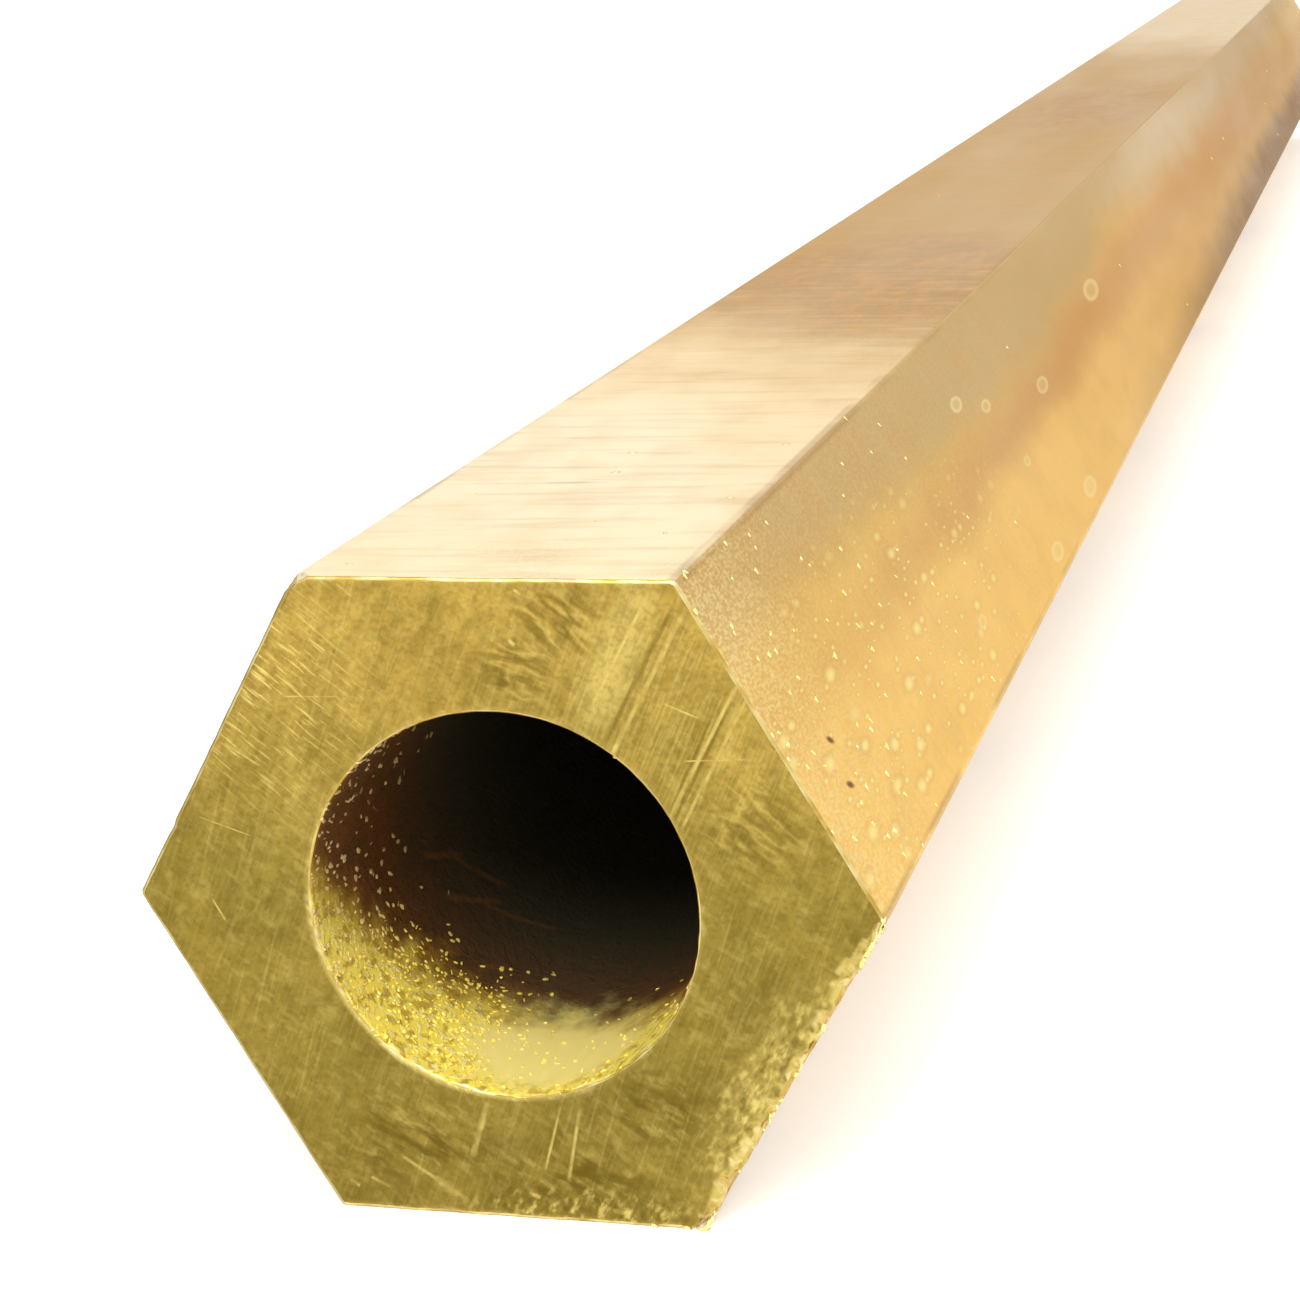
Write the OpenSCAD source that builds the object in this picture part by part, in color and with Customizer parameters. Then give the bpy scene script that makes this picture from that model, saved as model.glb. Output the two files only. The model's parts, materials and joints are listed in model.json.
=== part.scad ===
// Hexagonal brass tube: one cut length of drawn hollow hexagon stock with a round bore.
// It lies on one of its flats. Y runs along the bore, Z is up, and the origin is at the
// middle of the length, on the flat that it lies on.

/* [Section] */
// Distance between two opposite flats
across_flats = 30; // [24:0.5:60]
// Diameter of the round bore
bore_d = 18; // [6:0.5:22]
// Radius of the six corners, which the drawing die leaves
corner_r = 0.4; // [0.1:0.05:1.5]

/* [Cut length] */
// Length of the piece from one sawn end to the other
cut_length = 500; // [50:10:3000]

/* [Sawn ends] */
// Width of the broken edge round the outside of a sawn end, measured on the end face
rim_break = 0.15; // [0.05:0.05:0.5]
// Width of the broken edge at each mouth of the bore, measured on the end face
mouth_break = 0.1; // [0.05:0.05:0.5]

/* [Hidden] */
brass = "#c9a94e";
$fn = 96;

// The six corners stand at every 60 degrees from zero, and a flat faces out half way between two
sides = 6;
side_step = 360 / sides;
half_step = side_step / 2;
corner_angles = [for (i = [0:sides - 1]) i * side_step];
flat_angles = [for (angle = corner_angles) angle + half_step];
flat_reach = across_flats / 2;
side_length = across_flats * tan(half_step);
// Centre of a corner's arc, which touches both of its flats
corner_centre = (flat_reach - corner_r) / cos(half_step);
// How far a cutting tool runs past what it cuts
run_out = 1;

// Direction in the section's own plane
function dir(angle) = [cos(angle), sin(angle)];

// The two points where a corner's arc leaves its flats
function arc_ends(angle) = [for (side = [-half_step, half_step])
    corner_centre * dir(angle) + corner_r * dir(angle + side)];

// Outline of the stock, with a corner to the left and right and a flat at the top and bottom
module hexagon_outline() {
    polygon([for (angle = corner_angles) each arc_ends(angle)]);
    for (angle = corner_angles)
        translate(corner_centre * dir(angle))
            circle(r = corner_r);
}

// Drawn stock, from its near end at zero up to the cut length
module drawn_stock() {
    linear_extrude(height = cut_length)
        difference() {
            hexagon_outline();
            circle(d = bore_d);
        }
}

// What breaks the six outer edges of one sawn end: a 45 degree bevel along every flat
module rim_bevel() {
    bevel_run = side_length + 2 * run_out;
    for (angle = flat_angles)
        rotate(angle)
            translate([flat_reach, bevel_run / 2, 0])
                rotate([90, 0, 0])
                    linear_extrude(height = bevel_run)
                        polygon([[-rim_break - run_out, -run_out],
                                 [run_out, rim_break + run_out],
                                 [run_out, -run_out]]);
}

// What breaks the edge of the bore at one sawn end: a 45 degree cone
module mouth_bevel() {
    translate([0, 0, -run_out])
        cylinder(r1 = bore_d / 2 + mouth_break + run_out,
                 r2 = bore_d / 2 - run_out,
                 h = mouth_break + 2 * run_out);
}

// Everything that dresses one sawn end, placed at the near end
module end_dressing() {
    rim_bevel();
    mouth_bevel();
}

// The whole piece, which is drawn, sawn off at both ends and deburred
module hex_tube() {
    color(brass)
        translate([0, -cut_length / 2, flat_reach])
            rotate([-90, 0, 0])
                difference() {
                    drawn_stock();
                    end_dressing();
                    translate([0, 0, cut_length])
                        mirror([0, 0, 1])
                            end_dressing();
                }
}

hex_tube();
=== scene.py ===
import json
import math

import bpy
import numpy as np
from bpy.props import FloatProperty, FloatVectorProperty, IntProperty, PointerProperty
from mathutils import Matrix, Vector, noise


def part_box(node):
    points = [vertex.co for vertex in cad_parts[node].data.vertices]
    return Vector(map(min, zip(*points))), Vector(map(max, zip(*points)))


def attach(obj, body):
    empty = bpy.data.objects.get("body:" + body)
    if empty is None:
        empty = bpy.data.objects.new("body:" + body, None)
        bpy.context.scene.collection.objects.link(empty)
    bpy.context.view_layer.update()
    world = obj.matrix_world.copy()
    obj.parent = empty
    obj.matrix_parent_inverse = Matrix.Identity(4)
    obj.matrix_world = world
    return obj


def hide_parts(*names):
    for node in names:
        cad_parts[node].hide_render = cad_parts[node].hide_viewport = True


bl_info = {
    "name": "Hexagonal brass tube",
    "version": (1, 0, 0),
    "blender": (4, 5, 0),
    "location": "3D View > Sidebar > Brass Tube",
    "description": "Dresses one cut length of drawn hexagonal brass tube and lights it",
    "category": "Object",
}

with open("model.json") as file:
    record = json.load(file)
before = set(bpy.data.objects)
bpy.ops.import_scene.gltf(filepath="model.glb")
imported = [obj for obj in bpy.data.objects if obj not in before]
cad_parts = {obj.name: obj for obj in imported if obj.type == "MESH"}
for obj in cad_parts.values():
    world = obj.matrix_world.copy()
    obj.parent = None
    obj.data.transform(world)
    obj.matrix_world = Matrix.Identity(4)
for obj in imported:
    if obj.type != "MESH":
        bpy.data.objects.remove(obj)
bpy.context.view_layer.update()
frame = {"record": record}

MM = 0.001
NODE = "hex_tube"
LOW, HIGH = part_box(NODE)
REACH = (HIGH.z - LOW.z) / 2
NEAR_Y = LOW.y
HALF_LENGTH = (HIGH.y - LOW.y) / 2
BORE = next(m for m in frame["record"]["mounts"] if m["name"] == "bore")
BORE_RADIUS = BORE["dims"]["r_mm"] * MM

SIDES = 6
SIDE_STEP = 2 * math.pi / SIDES
HALF_STEP = SIDE_STEP / 2
SIDE_LENGTH = 2 * REACH * math.tan(HALF_STEP)
# A sharp corner would stand out further than the solid's corner, by a share of the corner's radius
CORNER_RADIUS = (REACH / math.cos(HALF_STEP) - HIGH.x) / (1 / math.cos(HALF_STEP) - 1)
# The sides in the order that the columns run, clockwise as the near end is looked at
TOP, UPPER_RIGHT, LOWER_RIGHT, BOTTOM, LOWER_LEFT, UPPER_LEFT = range(SIDES)
# Share of a side's columns that its flat takes. The corners' arcs take the rest.
FLAT_SHARE = 5 / 6
# How strongly the rows of the walls crowd towards the sawn ends
CROWDING = 5.5

# How far a step of one in its seed moves a noise
SEED_SHIFT = 37 * MM
# Size in millimetres that leaves an axis out of a mark or a noise
ANY = 1000
# Turns in degrees about each axis
UNTURNED = (0, 0, 0)
ALONG_SAW = (0, -66, 0)
ALONG_FILE = (0, 40, 0)
ALONG_RIM = (0, -60, 0)


def linear(colour):
    """An sRGB hex colour as the linear red, green and blue that shaders take."""
    parts = [int(colour[i:i + 2], 16) / 255 for i in (1, 3, 5)]
    return [c / 12.92 if c <= 0.04045 else ((c + 0.055) / 1.055) ** 2.4 for c in parts]


def fill(tree, node, inputs):
    """Fills a node's inputs with values, sockets or other nodes."""
    for key, value in inputs.items():
        if isinstance(value, bpy.types.Node):
            value = next(socket for socket in value.outputs if socket.enabled)
        if isinstance(value, bpy.types.NodeSocket):
            tree.links.new(value, node.inputs[key])
        else:
            node.inputs[key].default_value = value


def add(tree, kind, inputs=None, **settings):
    """Adds one node with its settings and fills its inputs."""
    node = tree.nodes.new(kind)
    for name, value in settings.items():
        setattr(node, name, value)
    fill(tree, node, inputs or {})
    return node


def length(name, text, default):
    """A property that holds a length in metres."""
    return FloatProperty(name=name, description=text, default=default, unit="LENGTH", precision=6)


def colour(name, text, default):
    """A property that holds a colour, given as sRGB hex."""
    return FloatVectorProperty(name=name, description=text, subtype="COLOR", default=linear(default))


class HEXTUBE_PG_sizes(bpy.types.PropertyGroup):
    """Sizes of the stock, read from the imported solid, and how finely it is meshed"""

    reach: length("Half across flats", "Distance from the bore's axis to each flat", REACH)
    bore_radius: length("Bore radius", "Radius of the round bore", BORE_RADIUS)
    corner_radius: length("Corner radius", "Radius that the drawing die leaves on each corner", CORNER_RADIUS)
    cut_length: length("Cut length", "Length from one sawn end to the other", 2 * HALF_LENGTH)
    rim_break: length("Rim break", "Width of the broken edge round a sawn end", 0.15 * MM)
    mouth_break: length("Mouth break", "Width of the broken edge at a mouth of the bore", 0.1 * MM)
    grain_depth: length("Grain depth", "How far in from a sawn end torn grains lie in the bore", 18 * MM)
    columns: IntProperty(
        name="Columns", description="Strips of faces round the whole section, a multiple of 6",
        default=576, min=72)
    face_rings: IntProperty(
        name="Face rings", description="Rings of faces on a sawn end", default=30, min=4)
    wall_rows: IntProperty(
        name="Wall rows", description="Rows of faces along the flats", default=50, min=8)
    bore_rows: IntProperty(
        name="Bore rows", description="Rows of faces along the bore", default=40, min=8)


class HEXTUBE_PG_wear(bpy.types.PropertyGroup):
    """How rough the saw, the file and handling have left the stock"""

    recess: length("Recess", "Depth of a sawn face below the tips of its burrs", 0.05 * MM)
    saw_depth: length("Saw mark depth", "Height of the ridges that the saw left", 0.012 * MM)
    flat_wave: length("Flat waviness", "Depth of the long waves in the drawn flats", 0.015 * MM)
    fleck_density: FloatProperty(
        name="Fleck density", description="Flecks to a square metre, close to a sawn end",
        default=200000.0)
    grain_density: FloatProperty(
        name="Grain density", description="Torn grains to a square metre, low in a mouth of the bore",
        default=7e6)
    burr_count: IntProperty(
        name="Burrs", description="Burr slivers on each worn stretch of a rim", default=32)
    seed: IntProperty(name="Seed", description="Seed for everything random", default=7)


class HEXTUBE_PG_colours(bpy.types.PropertyGroup):
    """Colours of the brass, as it shows under white light"""

    sawn_high: colour("Sawn end, high", "Clear gold towards the top of a sawn end", "#C2A14B")
    sawn_low: colour("Sawn end, low", "Duller olive gold lower on a sawn end", "#968238")
    sawn_dark: colour("Sawn end, dull", "Dull patches and troughs of the saw marks", "#68561A")
    sawn_light: colour("Sawn end, bright", "Fresh metal on the ridges of the saw marks", "#E2CB74")
    # Also laid as painted highlights: on rims that face the light, and as glints and pale discs on the upper
    # right flat
    fresh: colour("Fresh metal", "Newly broken rims, burrs and flecks", "#F4E6A6")
    drawn: colour("Drawn flat", "Warm gold of the drawn flats", "#F4C45E")
    # Also laid as a painted reflection of a bright ceiling on the near part of the top flat
    drawn_pale: colour("Drawn flat, pale", "Pale rubbed metal near a sawn end", "#F2E6CC")
    tan: colour("Tan", "Pinkish tan where the flats are lightly tarnished", "#AC864C")
    haze: colour("Haze", "Greyish khaki film of older tarnish", "#B69660")
    orange: colour("Orange", "Deeper gold of a thin warm tarnish", "#C88E40")
    stain: colour("Stain", "Brown tarnish where the stock was handled", "#8E6030")
    tarnish: colour("Tarnish", "Reddish brown oxide inside the bore and in pits", "#683C16")
    # Darkest colour of the bore, laid further in, from 9 mm and full by 21 mm
    bore_dark: colour("Bore black", "Old black oxide deep in the bore", "#565038")
    # Also laid as a painted pool of light low in a mouth, and in painted glints on the upper right flat
    bore_gold: colour("Bore gold", "Bright torn metal just inside a mouth", "#FFE65E")
    bore_brown: colour("Bore brown", "Metal of the bore where the bright part fades out", "#A0741E")
    # A darker greenish tone round the bright metal in a mouth
    bore_green: colour("Bore green", "Greenish film round the bright metal in a mouth", "#A6A466")
    dull_grain: colour("Dull grain", "Torn grains that have browned on the bore's side", "#B89A78")
    # Also laid as painted shade on the left rims and along the far part of the upper right flat's lower edge;
    # in the bore it is brown oxide
    umber: colour("Umber", "Darkest brown, of dull rims, the bore and the flats' far part", "#4A3A10")
    glance: colour("Glance", "Golden tone that bare brass keeps at a low angle", "#F9EFDC")
    filmed_glance: colour("Filmed glance", "The same under a thick film of tarnish", "#E2C794")


def on_near_end(x, z):
    """A place on the near sawn end, given in millimetres from the bore's axis."""
    return Vector((x * MM, NEAR_Y, z * MM + REACH))


def unroll(side, across, from_end):
    """A place on a flat in unrolled coordinates: across it from its middle, and from the near end."""
    return Vector(((side + 0.5) * SIDE_LENGTH + across * MM, NEAR_Y + from_end * MM, 0))


def metres(size):
    """A size on each axis in metres, from millimetres."""
    return [part * MM for part in size]


def noise_field(tree, place, size, turn, detail, seed):
    """Noise from 0 to 1 with features size millimetres long on each turned axis, shifted by its seed."""
    turned = add(tree, "ShaderNodeMapping", {
        "Vector": place, "Location": [seed * SEED_SHIFT] * 3,
        "Rotation": [math.radians(angle) for angle in turn], "Scale": metres(size)}, vector_type="TEXTURE")
    return add(tree, "ShaderNodeTexNoise", {"Vector": turned, "Scale": 1.0, "Detail": detail})


def pattern(tree, place, size, turn, low, high, detail, seed):
    """A noise cut between low and high."""
    field = noise_field(tree, place, size, turn, detail, seed)
    return add(tree, "ShaderNodeMapRange", {"Value": field, "From Min": low, "From Max": high})


def patterns(tree, place, table):
    """The patterns of a table, by name."""
    return {name: pattern(tree, place, *row) for name, row in table.items()}


def mark(tree, place, centre, size, turn=UNTURNED, soft=1.0):
    """One at centre, falling to nought at size millimetres from it along each turned axis."""
    moved = add(tree, "ShaderNodeMapping", {
        "Vector": place, "Location": centre, "Rotation": [math.radians(angle) for angle in turn],
        "Scale": metres(size)}, vector_type="TEXTURE")
    far = add(tree, "ShaderNodeVectorMath", {0: moved}, operation="LENGTH")
    return add(tree, "ShaderNodeMapRange", {
        "Value": far.outputs["Value"], "From Min": 1.0, "From Max": 1.0 - soft},
        interpolation_type="SMOOTHSTEP", clamp=False)


def combined(tree, operation, fields):
    """Several fields taken together by one operation, such as MAXIMUM or MULTIPLY.

    Each of a generator's fields is joined on before the next is made, which keeps a long shader within
    what the renderer can hold at once.
    """
    fields = iter(fields)
    total = next(fields)
    for field in fields:
        total = add(tree, "ShaderNodeMath", {0: total, 1: field}, operation=operation)
    return total


def coats(tree, masks, base, layers):
    """The base colour with layers of (masks, share, colour) laid on it in turn, all of them by name.

    Masks that are named together are multiplied. A share is a number or the name of a mask.
    """
    colours = bpy.context.scene.hextube_colours
    tone = [*getattr(colours, base), 1]
    for names, share, top in layers:
        mask = combined(tree, "MULTIPLY", (masks[name] for name in names.split()))
        amount = combined(tree, "MULTIPLY", (mask, masks.get(share, share)))
        tone = add(tree, "ShaderNodeMix", {
            "Factor": amount, 6: tone, 7: [*getattr(colours, top), 1]}, data_type="RGBA")
    return tone


def metal(name, build):
    """A material whose Principled shader is filled by build(tree, place, shader)."""
    material = bpy.data.materials.new(name)
    material.use_nodes = True
    tree = material.node_tree
    tree.nodes.clear()
    place = add(tree, "ShaderNodeTexCoord").outputs["Object"]
    shader = add(tree, "ShaderNodeBsdfPrincipled", {"Metallic": 1.0})
    build(tree, place, shader)
    add(tree, "ShaderNodeOutputMaterial", {"Surface": shader})
    return material


# Marks on the near end: both of a mark's ends, in millimetres from the bore's axis, and its width. A few
# of the short bright ones are painted highlights, small glints, and not scratches.
BRIGHT_SCRATCHES_AND_GLINTS = (
    ((9.2, 14.0), (5.2, 6.7), 0.32), ((11.3, 10.7), (7.6, 3.9), 0.26), ((11.8, 10.3), (8.3, 3.7), 0.22),
    ((7.2, 13.9), (4.6, 9.2), 0.22), ((8.6, 7.0), (11.4, 7.15), 0.10), ((7.8, 9.6), (9.5, 8.9), 0.14),
    ((-1.2, -9.2), (-2.2, -12.2), 0.42), ((2.2, -9.3), (1.2, -12.8), 0.18), ((3.1, -9.3), (2.3, -13.2), 0.24),
    ((-5.8, -12.1), (-2.5, -14.3), 0.24), ((-4.1, -13.2), (-2.9, -14.1), 0.44),
    ((15.6, -1.6), (15.0, -2.5), 0.50), ((15.9, -2.5), (15.2, -2.2), 0.44),
    ((10.6, -7.8), (11.4, -8.0), 0.40), ((8.8, -11.8), (9.5, -12.0), 0.44),
    ((4.3, -14.3), (5.3, -14.4), 0.36), ((0.4, -13.7), (1.0, -13.9), 0.30),
    ((4.4, 13.5), (4.8, 13.2), 0.26), ((1.1, 12.3), (1.4, 12.0), 0.26), ((1.5, 14.5), (1.8, 14.3), 0.20),
    ((-7.2, -13.4), (-6.2, -13.9), 0.24), ((-8.2, -13.6), (-7.7, -13.9), 0.26),
    ((-6.6, 14.7), (-5.9, 14.1), 0.14), ((-8.7, 14.5), (-7.9, 13.9), 0.14),
    ((-8.1, 12.2), (-7.3, 11.6), 0.14), ((-11.0, 10.7), (-10.0, 9.8), 0.14),
    ((-10.3, 11.6), (-8.9, 10.5), 0.12), ((-9.6, 9.5), (-6.8, 9.55), 0.10),
    ((-14.2, 3.8), (-11.5, 2.9), 0.08), ((-12.6, 7.3), (-10.8, 6.2), 0.12),
    ((-13.8, -0.1), (-13.2, -1.2), 0.14),
)
DARK_SCRATCHES = (
    ((8.6, 14.0), (4.9, 7.2), 0.34), ((11.0, 9.9), (7.9, 3.9), 0.26), ((0.4, 10.4), (1.4, 10.2), 0.60),
    ((5.9, -7.5), (7.2, -7.5), 0.50), ((-6.9, -12.9), (-5.1, -13.4), 0.50), ((10.2, 9.4), (7.4, 3.6), 0.18),
)
# Faint bent scratches on the bore's left wall, in pieces: both ends of each, in millimetres round the
# wall from the right and in from the mouth, and its width
BORE_SCRATCHES = (
    ((-25.6, 14.0), (-24.0, 18.6), 0.60), ((-25.0, 16.8), (-21.0, 20.6), 0.60),
    ((-23.3, 14.0), (-20.8, 18.8), 0.60), ((-22.0, 16.8), (-17.6, 19.6), 0.60),
)
# Shares of a stroke's half length and half width over which it is full
FULL_LENGTH = 0.75
FULL_WIDTH = 0.2


def end_strokes(tree, place, strokes):
    """Masks of straight strokes on the near end, one after another: full for most of their length."""
    for start, end, width in strokes:
        run = Vector((end[0] - start[0], 0, end[1] - start[1])) * MM
        middle = on_near_end((start[0] + end[0]) / 2, (start[1] + end[1]) / 2)
        along = run.normalized()
        across = Vector((-along.z, 0, along.x))
        reaches = []
        for axis, half_size, full in (
                (along, run.length / 2, FULL_LENGTH), (across, width / 2 * MM, FULL_WIDTH)):
            reached = add(tree, "ShaderNodeVectorMath", {0: place, 1: axis}, operation="DOT_PRODUCT")
            off = combined(tree, "SUBTRACT", (reached.outputs["Value"], middle.dot(axis)))
            away = add(tree, "ShaderNodeMath", {0: off}, operation="ABSOLUTE")
            reaches.append(add(tree, "ShaderNodeMapRange", {
                "Value": away, "From Min": half_size, "From Max": half_size * full},
                interpolation_type="SMOOTHSTEP", clamp=False))
        yield combined(tree, "MULTIPLY", reaches)


# Patches of the near end where the tool chattered, by its strokes' angle: middle, radius and strength
CHATTERED = {
    -38: ((3.2, 13.0, 2.8, 1.0), (11.7, 4.0, 3.2, 0.8)),
    -20: ((1.4, 10.9, 2.3, 0.9),),
    61: ((-11.4, -1.0, 2.4, 0.4), (12.2, -4.6, 2.6, 0.4)),
}
CHATTER_SEED = 40.0
# Size of the slow noise that the looped lines follow, and how many of its levels are lines
CHATTER_SIZE = (2.6, 3, 0.9)
CHATTER_LEVELS = 9.0
# How far up its wave a line is where it is neither trough nor crest, and where each of them is full
LINE_MIDDLE = 0.7
LINE_FULL = (0.1, 1.0)


def chatter(tree, place, angle, patches, seed):
    """The troughs and crests of fine looped lines, which follow the levels of a slow noise."""
    field = noise_field(tree, place, CHATTER_SIZE, (0, -angle, 0), 2.0, seed)
    level = combined(tree, "MULTIPLY", (field, CHATTER_LEVELS))
    wave = combined(tree, "PINGPONG", (level, 1.0))
    zone = combined(tree, "MAXIMUM", (
        combined(tree, "MULTIPLY", (
            mark(tree, place, on_near_end(x, z), (radius, ANY, radius), soft=0.7), strength))
        for x, z, radius, strength in patches))
    for full in LINE_FULL:
        line = add(tree, "ShaderNodeMapRange", {"Value": wave, "From Min": LINE_MIDDLE, "From Max": full})
        yield combined(tree, "MULTIPLY", (zone, line))


# Sawn end: size of a pattern's features, turn, where its noise is cut, detail and seed. The true grit
# marks are about 0.05 mm wide, and the grain is drawn three times as coarse so that it shows.
SAWN_PATTERNS = {
    "wander": ((6, 5, 6), UNTURNED, 0.3, 0.7, 2, 1),
    "clouds": ((3.6, 5, 2.2), ALONG_SAW, 0.36, 0.72, 5, 0),
    "mottle": ((0.9, 3, 0.6), ALONG_SAW, 0.42, 0.66, 4, 3),
    "flakes": ((0.8, 3, 0.4), ALONG_FILE, 0.50, 0.68, 4, 4),
    "speckle": ((0.26, 3, 0.22), UNTURNED, 0.46, 0.64, 3, 6),
    "grain": ((2.6, 3, 0.16), ALONG_SAW, 0.46, 0.70, 4, 5),
    "dull_grain": ((3.0, 3, 0.22), ALONG_SAW, 0.50, 0.70, 3, 14),
    "scored": ((9, 3, 0.22), (0, -72, 0), 0.60, 0.74, 1, 11),
    "filed": ((1.5, 3, 0.15), ALONG_FILE, 0.54, 0.68, 3, 8),
    "pebble": ((0.6, 3, 0.34), ALONG_RIM, 0.52, 0.68, 4, 13),
    "hollow": ((0.6, 3, 0.34), ALONG_RIM, 0.49, 0.36, 4, 13),
    "smear": ((2.2, 3, 0.7), (0, 28, 0), 0.46, 0.60, 5, 17),
}
# Zones of the near end, each of one or more ellipses: middle, half sizes, turn and softness
LOW_RIM = (11.9, -8.2, 8.5, 2.8, -60, 0.8)
SAWN_ZONES = {
    "upper_left": ((-10.5, 10, 7, 8, 0, 0.8),),
    "upper_right": ((8, 9, 9, 9, 0, 0.8),),
    "band": ((5.9, 11.6, 5, 1.5, -66, 0.5),),
    "low_rim": (LOW_RIM,),
    "low_rims": (LOW_RIM, (3, -14.6, 8, 1.8, 0, 0.8)),
    "low_part": ((-4.8, -11.4, 5, 2.8, 0, 0.8), (2.6, -12.8, 5, 2, 0, 0.8), (6.6, -9.4, 3.4, 2.4, 0, 0.8)),
}
SAWN_COATS = (
    ("clear", 1.0, "sawn_high"),
    ("band", 0.4, "sawn_light"),
    # The clouds and mottle are partly the sawn metal's own dull patches and partly painted reflection of the
    # saw marks
    ("clouds", 0.44, "sawn_dark"),
    ("mottle", 0.30, "sawn_dark"),
    ("flakes", 0.16, "sawn_light"),
    ("flakes low_part", 0.24, "sawn_light"),
    ("dull_grain", 0.16, "sawn_dark"),
    ("grain", 0.10, "sawn_light"),
    ("grain upper_right", 0.26, "sawn_light"),
    ("scored", 0.16, "sawn_light"),
    ("speckle", 0.26, "sawn_dark"),
    ("dashed", 0.8, "sawn_light"),
    ("troughs", 0.6, "sawn_dark"),
    ("crests", 0.25, "sawn_light"),
    ("smear low_part", 0.85, "sawn_dark"),
    ("low_rim", 0.2, "sawn_light"),
    ("hollow low_rims", 0.6, "sawn_dark"),
    ("pebble low_rims", 0.9, "sawn_light"),
    ("dark", 0.45, "sawn_dark"),
    ("bright broken", 0.75, "sawn_light"),
    # Painted light and shade of the rim: a painted highlight, partly fresh metal, where it faces the light,
    # and painted shade on the left rims
    ("worn", 0.85, "sawn_light"),
    ("worn flakes", 0.8, "fresh"),
    ("shaded_rim", 0.95, "sawn_dark"),
)
# A sawn end is clearer above the bore's axis: over how many millimetres, how clear it is at the bottom
# and the top of them, and how much a slow noise adds
CLEAR_RISE = 12
CLEAR_LEAST, CLEAR_MOST = -0.22, 0.85
CLEAR_WANDER = 0.45


def sawn_end(tree, place, shader):
    """Brass cut with a saw and dressed with a file: olive gold, mottled and crossed by both strokes."""
    masks = patterns(tree, place, SAWN_PATTERNS)
    upward = add(tree, "ShaderNodeSeparateXYZ", {0: place}).outputs["Z"]
    rise = add(tree, "ShaderNodeMapRange", {
        "Value": upward, "From Min": REACH, "From Max": REACH + CLEAR_RISE * MM,
        "To Min": CLEAR_LEAST, "To Max": CLEAR_MOST})
    masks["clear"] = add(tree, "ShaderNodeMath", {
        0: masks["wander"], 1: CLEAR_WANDER, 2: rise}, operation="MULTIPLY_ADD", use_clamp=True)
    for name, rows in SAWN_ZONES.items():
        masks[name] = combined(tree, "MAXIMUM", (
            mark(tree, place, on_near_end(x, z), (width, ANY, height), (0, turn, 0), soft)
            for x, z, width, height, turn, soft in rows))
    masks["dashed"] = combined(tree, "MULTIPLY", (masks["filed"], masks["upper_left"]))
    loops = [chatter(tree, place, angle, patches, CHATTER_SEED + number)
             for number, (angle, patches) in enumerate(CHATTERED.items())]
    masks["troughs"], masks["crests"] = (combined(tree, "MAXIMUM", lines) for lines in zip(*loops))
    masks["bright"] = combined(tree, "MAXIMUM", end_strokes(tree, place, BRIGHT_SCRATCHES_AND_GLINTS))
    masks["dark"] = combined(tree, "MAXIMUM", end_strokes(tree, place, DARK_SCRATCHES))
    masks["broken"] = add(tree, "ShaderNodeMapRange", {
        "Value": masks["mottle"], "To Min": 0.3, "To Max": 1.0})
    rim = add(tree, "ShaderNodeAttribute", attribute_name="rim").outputs["Fac"]
    for name, full in (("worn", 1.0), ("shaded_rim", -1.0)):
        masks[name] = add(tree, "ShaderNodeMapRange", {"Value": rim, "From Min": 0.0, "From Max": full})
    tone = coats(tree, masks, "sawn_low", SAWN_COATS)
    rough = add(tree, "ShaderNodeMapRange", {"Value": masks["clouds"], "To Min": 0.36, "To Max": 0.5})
    ridges = combined(tree, "ADD", (masks["grain"], masks["flakes"], masks["dashed"]))
    bump = add(tree, "ShaderNodeBump", {"Height": ridges, "Distance": 0.02 * MM, "Strength": 0.7})
    fill(tree, shader, {"Base Color": tone, "Roughness": rough, "Normal": bump})


# Painted highlights, pale discs drawn out along the stock: side, millimetres across from its middle and
# from the near end, and half sizes across and along
GLINT_RINGS = (
    (UPPER_RIGHT, -1.8, 125, 0.72, 3.5), (UPPER_RIGHT, -0.3, 88, 0.48, 2.0),
    (UPPER_RIGHT, -2.6, 69, 0.36, 1.3), (UPPER_RIGHT, -4.2, 62, 0.42, 1.5),
    (UPPER_RIGHT, 7.1, 84, 0.56, 2.3), (UPPER_RIGHT, 7.3, 65, 0.48, 1.8),
    (UPPER_RIGHT, 2.0, 71, 0.28, 1.0), (UPPER_RIGHT, 5.2, 40, 0.30, 0.9),
)
# Where a disc and its edge begin and where they are full, as shares of its size, and their least
RING_FADE = ((1.3, 1.0, 0.0), (0.4, 0.95, 0.35))


def glint_rings(tree, place, rings):
    """Painted highlights: pale discs, brightest round their edges, made one after another."""
    for side, across, from_end, half_width, half_length in rings:
        moved = add(tree, "ShaderNodeMapping", {
            "Vector": place, "Location": unroll(side, across, from_end),
            "Scale": metres((half_width, half_length, ANY))}, vector_type="TEXTURE")
        far = add(tree, "ShaderNodeVectorMath", {0: moved}, operation="LENGTH").outputs["Value"]
        disc, edge = (
            add(tree, "ShaderNodeMapRange", {
                "Value": far, "From Min": first, "From Max": last, "To Min": least},
                interpolation_type="SMOOTHSTEP", clamp=False)
            for first, last, least in RING_FADE)
        yield combined(tree, "MULTIPLY", (disc, edge))


# Painted glints: size of a cell in millimetres, share of the cells that hold one, and seed
GLINT_CELLS = (((1.2, 3.4, ANY), 0.4, 3), ((0.5, 1.4, ANY), 0.35, 8))
# A spot's radius in cells: by how much it varies and its least
SPOT_RADIUS = (0.28, 0.12)
# Where a spot and its halo are full and where they end, as shares of the radius
SPOT_FADE = ((0.0, 1.0), (0.3, 1.8))


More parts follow.
